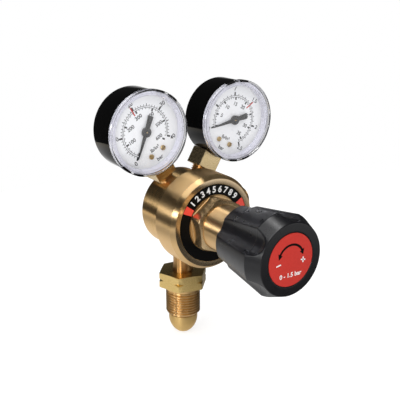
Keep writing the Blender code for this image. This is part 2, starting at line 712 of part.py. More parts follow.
def bonnet(frame):
    """The cap that clamps the diaphragm: broad ring, hexagon, and neck with the screw's thread."""
    hub_radius = corner_radius(HUB_HEX)
    ring_floor = BONNET_FRONT - RING_THICKNESS - CLEARANCE
    ring_recess = RING_RADIUS + CLEARANCE
    outline = [
        (SKIRT_BORE, BONNET_REAR),
        (BONNET_RADIUS - BONNET_EDGE, BONNET_REAR),
        (BONNET_RADIUS, BONNET_REAR + BONNET_EDGE),
        (BONNET_RADIUS, BONNET_FRONT - BONNET_CHAMFER_LENGTH),
        (BONNET_RADIUS - BONNET_CHAMFER_DEPTH, BONNET_FRONT),
        (ring_recess, BONNET_FRONT),
        (ring_recess, ring_floor),
        (NECK_RADIUS, ring_floor),
        (NECK_RADIUS, NECK_FRONT - NECK_CHAMFER),
        (NECK_RADIUS - NECK_CHAMFER, NECK_FRONT),
        (SCREW_HOLE, NECK_FRONT),
        (SCREW_HOLE, SPRING_BORE_FRONT),
        (SPRING_BORE, SPRING_BORE_FRONT),
        (SPRING_BORE, PLATE_ROOM_FRONT),
        (CHAMBER_RADIUS, PLATE_ROOM_FRONT),
        (CHAMBER_RADIUS, BONNET_SEAT),
        (SKIRT_BORE, BONNET_SEAT),
    ]
    cap = turned("bonnet", outline, frame, "turned_brass")
    inside = (SPRING_BORE + NECK_RADIUS) / 2
    hub_outline = [
        (inside, ring_floor - CLEARANCE),
        (hub_radius, ring_floor - CLEARANCE),
        (hub_radius, HUB_FRONT - HUB_CHAMFER),
        (hub_radius - 2 * HUB_CHAMFER, HUB_FRONT),
        (inside, HUB_FRONT),
    ]
    hub = turned("bonnet_hub", hub_outline, frame, segments=MEDIUM + COARSE)
    flats = prism("hub_hexagon", hexagon(HUB_HEX, HUB_CORNER_CLOCK), BONNET_REAR, NECK_FRONT, frame)
    join(cap, trim(hub, flats))
    tube("bonnet_label_ring", hub_radius + CLEARANCE, RING_RADIUS, BONNET_FRONT - RING_THICKNESS,
         BONNET_FRONT, frame, "black_print", MEDIUM + COARSE)


def diaphragm_set(frame):
    """The rubber diaphragm, the ring that lets the bonnet slip on it, and its plate and nut."""
    tube("diaphragm", STUD_HOLE, CLAMP_RADIUS, DIAPHRAGM_REAR, DIAPHRAGM_FRONT, frame, "rubber", MEDIUM)
    tube("slip_ring", CLAMP_RADIUS - SLIP_RING_WIDTH, CLAMP_RADIUS, SLIP_RING_REAR, SLIP_RING_FRONT,
         frame, "steel", MEDIUM)
    plate = [
        (0, STUD_END),
        (STUD_RADIUS, STUD_END),
        (STUD_RADIUS, PLATE_REAR),
        (PLATE_RADIUS, PLATE_REAR),
        (PLATE_RADIUS, PLATE_FRONT),
        (SPIGOT_RADIUS, PLATE_FRONT),
        (SPIGOT_RADIUS, PLATE_FRONT + PLATE_SPIGOT_LENGTH),
        (0, PLATE_FRONT + PLATE_SPIGOT_LENGTH),
    ]
    turned("diaphragm_plate", plate, frame, "steel", MEDIUM)
    nut = prism("diaphragm_nut", hexagon(DIAPHRAGM_NUT_HEX, 0), DIAPHRAGM_NUT_REAR, DIAPHRAGM_NUT_FRONT,
                frame, "turned_brass")
    cut(nut, cylinder("diaphragm_nut_bore", STUD_HOLE, DIAPHRAGM_NUT_REAR - OVERCUT,
                      DIAPHRAGM_NUT_FRONT + OVERCUT, frame))


def valve_set(frame):
    """The seat nozzle in the chamber's floor, and the sprung poppet and pin behind it."""
    nozzle_outer = VALVE_BORE - CLEARANCE
    head_radius = corner_radius(NOZZLE_HEX)
    nozzle = [
        (NOZZLE_BORE, SEAT_LIP_END),
        (SEAT_LIP_RADIUS, SEAT_LIP_END),
        (SEAT_LIP_RADIUS, NOZZLE_REAR),
        (nozzle_outer, NOZZLE_REAR),
        (nozzle_outer, NOZZLE_SHOULDER),
        (head_radius, NOZZLE_SHOULDER),
        (head_radius, NOZZLE_SHOULDER + NOZZLE_HEAD),
        (NOZZLE_BORE, NOZZLE_SHOULDER + NOZZLE_HEAD),
    ]
    seat = turned("seat_nozzle", nozzle, frame, "turned_brass", MEDIUM)
    trim(seat, prism("nozzle_hexagon", hexagon(NOZZLE_HEX, 0), SEAT_LIP_END - OVERCUT,
                     BODY_FRONT, frame))
    tube("valve_seat_pad", PIN_HOLE, PAD_RADIUS, PAD_REAR, PAD_FRONT, frame, "rubber", SMALL)
    socket_floor = POPPET_FRONT - PIN_SOCKET_DEPTH
    poppet = [
        (0, POPPET_REAR - POPPET_GUIDE_LENGTH),
        (POPPET_GUIDE_RADIUS, POPPET_REAR - POPPET_GUIDE_LENGTH),
        (POPPET_GUIDE_RADIUS, POPPET_REAR),
        (POPPET_RADIUS, POPPET_REAR),
        (POPPET_RADIUS, POPPET_FRONT),
        (PIN_HOLE, POPPET_FRONT),
        (PIN_HOLE, socket_floor),
        (0, socket_floor),
    ]
    turned("valve_poppet", poppet, frame, "turned_brass", SMALL)
    cylinder("valve_pin", PIN_RADIUS, socket_floor + CLEARANCE, STUD_END - CLEARANCE, frame, "steel", COARSE)
    low = VALVE_BORE_FLOOR + CLEARANCE + VALVE_WIRE / 2
    high = POPPET_REAR - CLEARANCE - VALVE_WIRE / 2
    points = coil_points(VALVE_COIL_RADIUS, low, high, VALVE_TURNS, VALVE_WIRE)
    wire("valve_spring", points, VALVE_WIRE, frame, "steel")
    print_self_gap("valve_spring", points, VALVE_WIRE)


def spring_set(frame):
    """The main spring, with the button and ball that the screw pushes it by."""
    low = MAIN_SPRING_REAR + MAIN_WIRE / 2
    high = low + MAIN_SPRING_LENGTH - MAIN_WIRE
    points = coil_points(MAIN_COIL_RADIUS, low, high, MAIN_TURNS, MAIN_WIRE)
    wire("main_spring", points, MAIN_WIRE, frame, "steel")
    print_self_gap("main_spring", points, MAIN_WIRE)
    button = [
        (0, BUTTON_REAR - BUTTON_SPIGOT_LENGTH),
        (SPIGOT_RADIUS, BUTTON_REAR - BUTTON_SPIGOT_LENGTH),
        (SPIGOT_RADIUS, BUTTON_REAR),
        (BUTTON_RADIUS, BUTTON_REAR),
        (BUTTON_RADIUS, BUTTON_FRONT),
        (BALL_SOCKET_RADIUS, BUTTON_FRONT),
        (BALL_SOCKET_RADIUS, BUTTON_FRONT - BALL_SOCKET_DEPTH),
        (0, BUTTON_FRONT - BALL_SOCKET_DEPTH),
    ]
    turned("spring_button", button, frame, "steel", MEDIUM)
    turned("thrust_ball", arc((0, BALL_CENTRE), BALL_RADIUS, -90, 90), frame, "steel", COARSE)


def knob_set(frame):
    """The lobed knob, the adjusting screw fixed in it, its fixing screw and its printed disc."""
    crest = KNOB_FRONT - KNOB_CREST_SETBACK
    round_centre = (KNOB_REAR_RADIUS - KNOB_REAR_ROUND, KNOB_REAR + KNOB_REAR_ROUND)
    shoulder_rise = KNOB_CREST_RADIUS - KNOB_FACE_RADIUS
    outline = [(0, KNOB_REAR)]
    outline += arc(round_centre, KNOB_REAR_ROUND, -90, 0, EDGE_STEPS)
    outline += arc((KNOB_FACE_RADIUS, crest), shoulder_rise, 0, 90, height=KNOB_CREST_SETBACK)
    outline.append((0, KNOB_FRONT))
    knob = turned("knob", outline, frame, "black_plastic", LARGE + COARSE)

    end = KNOB_FRONT - FLUTE_END_SETBACK
    for flute in range(FLUTES):
        degrees = FLUTE_CLOCK + flute * 360 / FLUTES
        start = Vector((*clock(FLUTE_FLOOR_REAR + FLUTE_RADIUS, degrees), KNOB_REAR))
        finish = Vector((*clock(FLUTE_FLOOR_FRONT + FLUTE_RADIUS, degrees), end))
        length = (finish - start).length
        scoop = [(0, -FLUTE_RADIUS), (FLUTE_RADIUS, -FLUTE_RADIUS)]
        scoop += arc((0, length), FLUTE_RADIUS, 0, 90)
        cutter = aim(turned(f"flute_{flute}", scoop, frame, segments=MEDIUM), finish - start)
        cutter.location = start
        cut(knob, cutter)

    recess = KNOB_FRONT - DISC_RECESS
    bore = [
        (0, KNOB_REAR - OVERCUT),
        (KNOB_BORE, KNOB_REAR - OVERCUT),
        (KNOB_BORE, KNOB_BORE_END),
        (SCREW_HOLE, KNOB_BORE_END),
        (SCREW_HOLE, KNOB_WEB_REAR),
        (FIXING_HOLE, KNOB_WEB_REAR),
        (FIXING_HOLE, KNOB_WEB_FRONT),
        (FIXING_HEAD_RADIUS + CLEARANCE, KNOB_WEB_FRONT),
        (FIXING_HEAD_RADIUS + CLEARANCE, recess),
        (DISC_RADIUS + CLEARANCE, recess),
        (DISC_RADIUS + CLEARANCE, KNOB_FRONT + OVERCUT),
        (0, KNOB_FRONT + OVERCUT),
    ]
    cut(knob, turned("knob_bore", bore, frame, segments=MEDIUM))

    fixing_end = SCREW_FRONT - FIXING_DEPTH
    screw = [
        (0, SCREW_SOCKET_FLOOR),
        (BALL_SOCKET_RADIUS, SCREW_SOCKET_FLOOR),
        (BALL_SOCKET_RADIUS, SCREW_REAR),
        (SCREW_RADIUS, SCREW_REAR),
        (SCREW_RADIUS, SCREW_FRONT),
        (FIXING_HOLE, SCREW_FRONT),
        (FIXING_HOLE, fixing_end - CLEARANCE),
        (0, fixing_end - CLEARANCE),
    ]
    turned("adjusting_screw", screw, frame, "steel", SMALL)
    fixing = [
        (0, fixing_end),
        (FIXING_RADIUS, fixing_end),
        (FIXING_RADIUS, FIXING_HEAD_REAR),
        (FIXING_HEAD_RADIUS, FIXING_HEAD_REAR),
        (FIXING_HEAD_RADIUS, FIXING_HEAD_REAR + FIXING_HEAD_HEIGHT),
        (0, FIXING_HEAD_REAR + FIXING_HEAD_HEIGHT),
    ]
    turned("knob_fixing_screw", fixing, frame, "steel", SMALL)
    disc_rear = recess + CLEARANCE
    cylinder("knob_label_disc", DISC_RADIUS, disc_rear, disc_rear + DISC_THICKNESS, frame, "red_print",
             MEDIUM + COARSE)


def gauge_case(prefix, frame):
    """The steel cup, its clear snap-in lens, and the dial on its two screws."""
    cup = [
        (0, -CASE_REAR),
        (CASE_RADIUS - CASE_EDGE, -CASE_REAR),
        (CASE_RADIUS, CASE_EDGE - CASE_REAR),
        (CASE_RADIUS, CASE_FRONT),
        (CASE_INNER, CASE_FRONT),
        (CASE_INNER, CASE_FLOOR),
        (0, CASE_FLOOR),
    ]
    case = turned(f"{prefix}_case", cup, frame, "black_enamel")
    waist_hole = SOCKET_WAIST_RADIUS + CLEARANCE
    cut(case, radial_hole(f"{prefix}_case_hole", waist_hole, BLOCK_TOP, CASE_RADIUS + OVERCUT, 180, frame))
    window = LENS_FRONT - LENS_THICKNESS
    skirt_inner = SKIRT_OUTER - LENS_SKIRT
    skirt_rear = DIAL_FACE + CLEARANCE
    lens = [
        (0, window),
        (skirt_inner, window),
        (skirt_inner, skirt_rear),
        (SKIRT_OUTER, skirt_rear),
        (SKIRT_OUTER, LENS_REAR),
        (LENS_RADIUS, LENS_REAR),
        (LENS_RADIUS, LENS_FRONT - LENS_EDGE),
        (LENS_RADIUS - LENS_EDGE, LENS_FRONT),
        (0, LENS_FRONT),
    ]
    turned(f"{prefix}_lens", lens, frame, "clear_plastic")
    dial = tube(f"{prefix}_dial", PINION_HOLE + CLEARANCE, DIAL_RADIUS, DIAL_REAR, DIAL_FACE, frame,
                "dial_white", MEDIUM + COARSE)
    for side, label in ((-1, "right"), (1, "left")):
        centre = clock(DIAL_SCREW_CIRCLE, 180 + side * DIAL_SCREW_SPREAD)
        cut(dial, axial_hole(f"{prefix}_dial_hole_{label}", DIAL_SCREW_HOLE, DIAL_REAR - OVERCUT,
                             DIAL_FACE + OVERCUT, centre, frame))
        dial_screw(f"{prefix}_dial_screw_{label}", centre, frame)


def dial_screw(name, centre, frame):
    head = SCREW_HEAD_SEAT + DIAL_SCREW_HEAD
    outline = [
        (0, SCREW_HEAD_SEAT - DIAL_SCREW_LENGTH),
        (DIAL_SCREW_RADIUS, SCREW_HEAD_SEAT - DIAL_SCREW_LENGTH),
        (DIAL_SCREW_RADIUS, SCREW_HEAD_SEAT),
        (DIAL_SCREW_HEAD_RADIUS, SCREW_HEAD_SEAT),
        (DIAL_SCREW_HEAD_RADIUS, head),
        (0, head),
    ]
    screw = turned(name, outline, frame, "turned_brass", COARSE)
    screw.location = (*centre, 0)
    half = DIAL_SCREW_SLOT / 2
    reach = DIAL_SCREW_HEAD_RADIUS + OVERCUT
    slot = prism(f"{name}_slot", rectangle(-reach, reach, -half, half), head - DIAL_SCREW_SLOT,
                 head + OVERCUT, frame)
    slot.location = screw.location
    cut(screw, slot)


def gauge_socket(prefix, frame):
    """The brass stem: thread into the body, square for the spanner, and block inside the case."""
    half = SOCKET_SQUARE / 2
    square = prism(f"{prefix}_socket", rectangle(-half, half, -half, half), CASE_INNER - OVERCUT,
                   SOCKET_SQUARE_END, frame, "nut_brass")
    aim(square, (0, -1, 0))
    edge = square.modifiers.new("edges", "BEVEL")
    edge.width = SOCKET_SQUARE_EDGE
    edge.segments = 1
    cut(square, cylinder(f"{prefix}_case_clearance", CASE_RADIUS + CLEARANCE, -CASE_RADIUS, CASE_RADIUS,
                         frame, segments=LARGE))
    waist_top = BLOCK_BOTTOM - OVERCUT
    join(square,
         radial_hole(f"{prefix}_waist", SOCKET_WAIST_RADIUS, waist_top, SOCKET_SQUARE_END - OVERCUT, 180,
                     frame),
         radial_hole(f"{prefix}_thread", SOCKET_THREAD_RADIUS, SOCKET_SQUARE_END - OVERCUT, SOCKET_END, 180,
                     frame),
         prism(f"{prefix}_block", rectangle(-BLOCK_SIDE, BLOCK_SIDE, -BLOCK_BOTTOM, -BLOCK_TOP), BLOCK_REAR,
               BLOCK_FRONT, frame))
    cut(square, radial_hole(f"{prefix}_socket_bore", SOCKET_BORE, BLOCK_BOTTOM - 2 * OVERCUT,
                            SOCKET_END + OVERCUT, 180, frame, COARSE))
    for side, label in ((-1, "right"), (1, "left")):
        centre = clock(DIAL_SCREW_CIRCLE, 180 + side * DIAL_SCREW_SPREAD)
        floor = SCREW_HEAD_SEAT - DIAL_SCREW_LENGTH - CLEARANCE
        cut(square, axial_hole(f"{prefix}_block_hole_{label}", DIAL_SCREW_HOLE, floor,
                               BLOCK_FRONT + OVERCUT, centre, frame))


def bourdon_tube(prefix, frame):
    """The flattened tube, open at its root by the block and closed at its tip."""
    root = 180 + math.degrees(math.asin((BLOCK_SIDE + CLEARANCE) / (TUBE_RADIUS - TUBE_THICKNESS / 2)))
    sides = len(TUBE_SECTION)
    bm = bmesh.new()

    def ring(degrees, thickness, width):
        points = []
        for out, forward in TUBE_SECTION:
            place = clock(TUBE_RADIUS + out * thickness / 2, degrees)
            points.append(bm.verts.new((*place, forward * width / 2)))
        return points

    def skin(start, end, thickness, width):
        sweep = (end - start) / MEDIUM
        rings = [ring(start + sweep * step, thickness, width) for step in range(MEDIUM + 1)]
        for first, second in zip(rings, rings[1:]):
            for side in range(sides):
                after = (side + 1) % sides
                bm.faces.new((first[side], first[after], second[after], second[side]))
        return rings

    outer = skin(root, TUBE_TIP_CLOCK, TUBE_THICKNESS, TUBE_WIDTH)
    wall = 2 * TUBE_WALL
    inner = skin(root, TUBE_TIP_CLOCK - TUBE_END_CAP, TUBE_THICKNESS - wall, TUBE_WIDTH - wall)
    bm.faces.new(outer[-1])
    bm.faces.new(inner[-1])
    for side in range(sides):
        after = (side + 1) % sides
        bm.faces.new((outer[0][side], outer[0][after], inner[0][after], inner[0][side]))
    add_mesh(f"{prefix}_bourdon_tube", bm, frame, "turned_brass")


def tube_tip(prefix, frame):
    """The end piece soldered to the tube, with a finger and pin for the link."""
    inner = TUBE_RADIUS - TIP_WIDTH / 2
    top = clock(TUBE_RADIUS + TUBE_THICKNESS / 2, TUBE_TIP_CLOCK)[1] - CLEARANCE
    finger_rear = LINK_PIN_FRONT + CLEARANCE
    tip = prism(f"{prefix}_tube_tip", rectangle(inner, inner + TIP_WIDTH, top - TIP_HEIGHT, top),
                -TUBE_WIDTH / 2, finger_rear + TIP_FINGER, frame, "turned_brass")
    root = (inner + TIP_WIDTH / 2, TIP_PIN[1] - TIP_HEIGHT / 2)
    finger_radius = LINK_BOSS - CLEARANCE
    finger = prism(f"{prefix}_tip_finger", bar(TIP_PIN, root, finger_radius, finger_radius / 2),
                   finger_rear, finger_rear + TIP_FINGER - CLEARANCE, frame)
    pin = axial_hole(f"{prefix}_tip_pin", LINK_PIN_RADIUS, LINK_REAR - CLEARANCE, finger_rear + CLEARANCE,
                     TIP_PIN, frame)
    join(tip, finger, pin)


def movement_plates(prefix, frame):
    """The two plates that carry the arbors, kept apart by pillars."""
    outline = rectangle(MOVEMENT_LEFT, MOVEMENT_RIGHT, MOVEMENT_BOTTOM, MOVEMENT_TOP)
    rear = prism(f"{prefix}_rear_plate", outline, -MOVEMENT_REAR, REAR_PLATE_FRONT, frame, "turned_brass")
    front = prism(f"{prefix}_front_plate", outline, FRONT_PLATE_REAR, FRONT_PLATE_REAR + MOVEMENT_PLATE,
                  frame, "turned_brass")
    for number, centre in enumerate(PILLARS):
        pillar_rear = REAR_PLATE_FRONT - MOVEMENT_PLATE / 2
        join(rear, axial_hole(f"{prefix}_pillar_{number}", PILLAR_RADIUS, pillar_rear,
                              FRONT_PLATE_REAR - CLEARANCE, centre, frame))
    holes = (("pinion", PINION_HOLE, (0, 0)), ("sector", SECTOR_ARBOR_RADIUS + CLEARANCE, SECTOR_PIVOT))
    for name, radius, centre in holes:
        through = axial_hole(f"{prefix}_{name}_pivot", radius, -MOVEMENT_REAR - OVERCUT,
                             FRONT_PLATE_REAR + MOVEMENT_PLATE + OVERCUT, centre, frame)
        cut(rear, through)
        cut(front, through)


def gear_teeth(teeth, first_clock, count):
    """Straight-sided teeth from one clock angle on, as outline points."""
    pitch_radius = teeth * GEAR_MODULE / 2
    root = pitch_radius - TOOTH_DEDENDUM
    tip = pitch_radius + TOOTH_ADDENDUM
    slope = math.tan(math.radians(TOOTH_SLOPE))
    points = []
    for tooth in range(count):
        middle = first_clock + tooth * 360 / teeth
        for radius, side in ((root, -1), (tip, -1), (tip, 1), (root, 1)):
            half = TOOTH_THICKNESS / 2 - (radius - pitch_radius) * slope
            points.append(clock(radius, middle + side * math.degrees(half / radius)))
    return points


def gauge_gears(prefix, frame):
    """The sector on its arbor, with a tail for the link, and the pinion on the pointer's arbor."""
    toothed_pitch = 360 / SECTOR_TEETH
    first = SECTOR_CLOCK + 180 - toothed_pitch
    fan = gear_teeth(SECTOR_TEETH, first, SECTOR_TEETH_CUT)
    last = first + toothed_pitch * (SECTOR_TEETH_CUT - 1)
    fan += [clock(SECTOR_ARBOR_RADIUS, last + SECTOR_NECK_SPREAD),
            clock(SECTOR_ARBOR_RADIUS, first - SECTOR_NECK_SPREAD)]
    sector = prism(f"{prefix}_sector_gear", fan, SECTOR_STATION, SECTOR_FRONT, frame, "turned_brass")
    arbor_end = FRONT_PLATE_REAR + MOVEMENT_PLATE - CLEARANCE
    hub_rear = SECTOR_STATION - CLEARANCE
    hub_front = SECTOR_FRONT + CLEARANCE
    hub = [
        (0, ARBOR_REAR),
        (SECTOR_ARBOR_RADIUS, ARBOR_REAR),
        (SECTOR_ARBOR_RADIUS, hub_rear),
        (SECTOR_HUB_RADIUS, hub_rear),
        (SECTOR_HUB_RADIUS, hub_front),
        (SECTOR_ARBOR_RADIUS, hub_front),
        (SECTOR_ARBOR_RADIUS, arbor_end),
        (0, arbor_end),
    ]
    parts = [
        turned(f"{prefix}_sector_hub", hub, frame, segments=COARSE),
        prism(f"{prefix}_sector_tail", bar((0, 0), TAIL_PIN, TAIL_WIDTH / 2, TAIL_WIDTH / 2),
              SECTOR_STATION + TAIL_STEP, SECTOR_FRONT - TAIL_STEP, frame),
        axial_hole(f"{prefix}_tail_pin", LINK_PIN_RADIUS, SECTOR_FRONT - SECTOR_THICKNESS / 2,
                   LINK_PIN_FRONT, TAIL_PIN, frame),
    ]
    join(sector, *parts)
    for piece in (sector, parts[0], parts[1]):
        piece.location = (*SECTOR_PIVOT, 0)
    parts[2].location = (*(SECTOR_PIVOT + TAIL_PIN), 0)

    gap = SECTOR_CLOCK + 180 / PINION_TEETH
    middle = (SECTOR_STATION + SECTOR_FRONT) / 2
    pinion = prism(f"{prefix}_pinion_arbor", gear_teeth(PINION_TEETH, gap, PINION_TEETH),
                   middle - PINION_WIDTH / 2, middle + PINION_WIDTH / 2, frame, "turned_brass")
    join(pinion, cylinder(f"{prefix}_pinion_shaft", PINION_ARBOR_RADIUS, ARBOR_REAR, ARBOR_FRONT, frame,
                          segments=COARSE))


def link_bar(prefix, frame):
    """The link from the tube's tip to the sector's tail, whose hole there has room for the tail's arc."""
    tail = SECTOR_PIVOT + TAIL_PIN - Vector(TIP_PIN)
    link = prism(f"{prefix}_link", bar((0, 0), tail, LINK_BOSS, LINK_BOSS), LINK_REAR, LINK_FRONT, frame,
                 "turned_brass")
    link.location = (*TIP_PIN, 0)
    holes = (
        ("tip", LINK_PIN_RADIUS + CLEARANCE, TIP_PIN),
        ("tail", OPEN_PIVOT_HOLE, SECTOR_PIVOT + TAIL_PIN),
    )
    for name, radius, centre in holes:
        cut(link, axial_hole(f"{prefix}_link_{name}_hole", radius, LINK_REAR - OVERCUT, LINK_FRONT + OVERCUT,
                             centre, frame))


def pointer(prefix, frame):
    """The pointer's blade and hub, resting on the dial's zero."""
    root = POINTER_ROOT_WIDTH / 2
    tip = POINTER_TIP_WIDTH / 2
    tail = POINTER_TAIL_WIDTH / 2
    blade_outline = [(-tail, -POINTER_TAIL), (tail, -POINTER_TAIL), (root, 0), (tip, POINTER_LENGTH),
                     (-tip, POINTER_LENGTH), (-root, 0)]
    blade_rear = POINTER_REAR + POINTER_BLADE_LIFT
    blade = prism(f"{prefix}_pointer", blade_outline, blade_rear, blade_rear + POINTER_THICKNESS, frame,
                  "pointer_black")
    blade.rotation_euler = (0, 0, -math.radians(POINTER_ZERO_CLOCK))
    join(blade, cylinder(f"{prefix}_pointer_hub", POINTER_HUB_RADIUS, POINTER_REAR, POINTER_FRONT, frame,
                         segments=SMALL))
    cut(blade, cylinder(f"{prefix}_pointer_bore", PINION_HOLE, POINTER_REAR - OVERCUT, POINTER_BORE_END,
                        frame, segments=COARSE))


def hairspring(prefix, frame):
    """The fine spiral that takes up the gears' backlash."""
    inner = PINION_HOLE + HAIRSPRING_WIRE / 2
    points = spiral_points(inner, HAIRSPRING_PITCH, HAIRSPRING_TURNS, HAIRSPRING_STATION)
    wire(f"{prefix}_hairspring", points, HAIRSPRING_WIRE, frame, "steel", 0)
    print_self_gap(f"{prefix}_hairspring", points, HAIRSPRING_WIRE)


def gauge(prefix, degrees, axis):
    """One gauge, standing on the body at a clock angle."""
    centre = clock(GAUGE_DISTANCE, degrees)
    frame = add_frame(f"{prefix}_gauge_axis", axis, (*centre, 0), (0, 0, -math.radians(degrees)))
    gauge_case(prefix, frame)
    gauge_socket(prefix, frame)
    bourdon_tube(prefix, frame)
    tube_tip(prefix, frame)
    movement_plates(prefix, frame)
    gauge_gears(prefix, frame)
    link_bar(prefix, frame)
    pointer(prefix, frame)
    hairspring(prefix, frame)


def main():
    for obj in list(bpy.data.objects):
        bpy.data.objects.remove(obj, do_unlink=True)
    inlet_axis = add_frame("inlet_axis")
    body_axis = add_frame("body_axis", None, (0, 0, AXIS_HEIGHT), (math.pi / 2, 0, 0))
    outlet_place = (0, -OUTLET_STATION, AXIS_HEIGHT)
    outlet_axis = add_frame("outlet_axis", None, outlet_place, (0, math.pi / 2, 0))
    inlet_nipple(inlet_axis)
    inlet_nut(inlet_axis)
    regulator_body(body_axis)
    outlet_connector(outlet_axis)
    bonnet(body_axis)
    diaphragm_set(body_axis)
    valve_set(body_axis)
    spring_set(body_axis)
    knob_set(body_axis)
    gauge("high", -GAUGE_ANGLE, body_axis)
    gauge("low", GAUGE_ANGLE, body_axis)


main()
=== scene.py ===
import math

import bmesh
import bpy
from mathutils import Matrix, Vector


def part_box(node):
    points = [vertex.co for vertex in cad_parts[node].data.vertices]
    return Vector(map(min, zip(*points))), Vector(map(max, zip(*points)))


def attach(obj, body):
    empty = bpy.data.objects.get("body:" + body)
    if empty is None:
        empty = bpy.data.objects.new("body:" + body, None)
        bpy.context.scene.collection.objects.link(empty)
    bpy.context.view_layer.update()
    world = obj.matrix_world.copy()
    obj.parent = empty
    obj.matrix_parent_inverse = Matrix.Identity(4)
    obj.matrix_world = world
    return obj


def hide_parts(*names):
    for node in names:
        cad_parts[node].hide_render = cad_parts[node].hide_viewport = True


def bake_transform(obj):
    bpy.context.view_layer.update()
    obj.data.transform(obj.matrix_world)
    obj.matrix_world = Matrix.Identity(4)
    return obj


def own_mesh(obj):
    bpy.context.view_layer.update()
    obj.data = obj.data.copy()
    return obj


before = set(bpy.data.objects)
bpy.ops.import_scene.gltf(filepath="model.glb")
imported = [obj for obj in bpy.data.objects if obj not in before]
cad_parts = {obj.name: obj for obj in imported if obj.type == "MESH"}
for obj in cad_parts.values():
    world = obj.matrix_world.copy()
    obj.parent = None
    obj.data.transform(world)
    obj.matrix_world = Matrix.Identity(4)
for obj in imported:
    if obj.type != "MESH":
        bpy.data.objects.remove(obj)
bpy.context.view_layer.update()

# The dressed regulator: fine meshes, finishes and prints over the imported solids, in a white studio.
# Turned pieces are drawn about their local Z axis. On the body's axis Z points forward, to the knob, and
# stations count forward from the inlet's plane. Clock angles run clockwise from up, seen from the knob.

MM = 0.001


# Places and main sizes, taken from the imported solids
def middle(node):
    low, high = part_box(node)
    return (low + high) / 2


def stations(node):
    """Rear and front station of a node along the body's axis."""
    low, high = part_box(node)
    return -high.y, -low.y


def radius_of(node):
    low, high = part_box(node)
    return (high.x - low.x) / 2


AXIS_HEIGHT = middle("bonnet_label_ring").z
BODY_RADIUS = radius_of("regulator_body")
BODY_REAR, BODY_FRONT = stations("regulator_body")
BONNET_RADIUS = radius_of("bonnet")
BONNET_REAR, NECK_FRONT = stations("bonnet")
RING_REAR, BONNET_FRONT = stations("bonnet_label_ring")
RING_RADIUS = radius_of("bonnet_label_ring")
KNOB_REAR, KNOB_FRONT = stations("knob")
DISC_REAR, DISC_FRONT = stations("knob_label_disc")
DISC_RADIUS = radius_of("knob_label_disc")
NIPPLE_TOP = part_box("inlet_nipple")[1].z
NUT_BASE, NUT_TOP = (corner.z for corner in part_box("inlet_nut"))
OUTLET_INNER, OUTLET_END = (corner.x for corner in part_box("outlet_connector"))
OUTLET_PLACE = middle("outlet_connector")
CASE_REAR, CASE_FRONT = stations("high_case")
CASE_RADIUS = radius_of("high_case")
LENS_BACK, LENS_FRONT = stations("high_lens")
LENS_RADIUS = radius_of("high_lens")
DIAL_REAR, DIAL_FACE = stations("high_dial")
SCREW_BACK, SCREW_FRONT = stations("high_dial_screw_left")
POINTER_REAR, POINTER_FRONT = stations("high_pointer")

# Fits and fineness
CLEARANCE = 0.3 * MM
SEGMENTS = 160
SMALL_SEGMENTS = 48
ROUND_STEPS = 6
ARC_STEP = 2
SHARP = 30.0
FLAT_FACING = 0.99
QUARTER_TURN = 0.25
EDGE = 0.25 * MM
FINE_EDGE = 0.1 * MM
THREAD_SHARP = 50.0
THREAD_RINGS = 10
THREAD_REACH = 1.5
THREAD_STEEPNESS = 1.6
THREAD_ROOT = 0.3
INK = 0.02 * MM

# Inlet. A thread has its crest radius, depth and pitch, here and below.
NOSE_TIP_RADIUS = 4.5 * MM
NOSE_RADIUS = 9.6 * MM
NOSE_ROUND = 10.3 * MM
NOSE_LENGTH = NUT_BASE - CLEARANCE
STEM_RADIUS = 6.28 * MM
NOSE_STEPS = 24
NOSE_SHOULDER = 0.4 * MM
INLET_BORE = 2.9 * MM
INLET_BORE_CHAMFER = 0.3 * MM
STEM_BORE = 2.0 * MM
NUT_THREAD = (11.45 * MM, 0.95 * MM, 1.814 * MM)
NUT_THREAD_LENGTH = 17.0 * MM
NUT_THREAD_CHAMFER = 1.75 * MM
NUT_THREAD_RINGS = 12
NUT_THREAD_FADE = 0.5 * MM
NUT_COLLAR_RADIUS = 11.1 * MM
NUT_COLLAR_STEP = 0.35 * MM
NUT_HEX = 28.6 * MM
NUT_HEX_HEIGHT = 10.2 * MM
NUT_HEX_CHAMFER = 0.35 * MM
NUT_BASE_CHAMFER = 0.4 * MM
NUT_BORE_CHAMFER = 0.4 * MM
NUT_CORNER_BREAK = 0.05 * MM
NUT_NOTCH_WIDTH = 2.2 * MM
NUT_NOTCH_DEPTH = 1.6 * MM
NUT_CORNER_CLOCK = -137.5

# Body, bonnet and outlet
BODY_SHOULDER = 16.0 * MM
BODY_CHAMFER = 1.0 * MM
SPIGOT_OUTER = BODY_RADIUS - 0.5 * MM
SKIRT_BORE = SPIGOT_OUTER + CLEARANCE
CHAMBER_RADIUS = 19.0 * MM
CHAMBER_FLOOR = 13.5 * MM
VALVE_BORE = 6.5 * MM
VALVE_BORE_FLOOR = BODY_REAR + 3.0 * MM
BONNET_EDGE = 0.5 * MM
BONNET_CHAMFER_LENGTH = 2.9 * MM
BONNET_CHAMFER_DEPTH = 2.1 * MM
BONNET_SEAT = 26.2 * MM
PLATE_ROOM_FRONT = 31.2 * MM
SPRING_BORE = 11.2 * MM
SPRING_BORE_FRONT = 60.0 * MM
SCREW_HOLE = 6.3 * MM
HUB_HEX = 31.2 * MM
HUB_RADIUS = 17.4 * MM
HUB_COLLAR = 0.25 * MM
HUB_RUNOUT = 0.3 * MM
HUB_FRONT = 45.0 * MM
HUB_CHAMFER = 1.15 * MM
HUB_CHAMFER_WIDTH = 2.875 * MM
HUB_SHOULDER_ROUND = 0.5 * MM
HUB_FRONT_ROUND = 0.2 * MM
HUB_CORNER_CLOCK = -68.0
NECK_RADIUS = 14.0 * MM
NECK_CHAMFER = 1.0 * MM
OUTLET_PORT_RADIUS = 5.9 * MM
OUTLET_SHOULDER = BODY_RADIUS + CLEARANCE
OUTLET_HEX = 17.5 * MM
OUTLET_HEX_LENGTH = 5.0 * MM
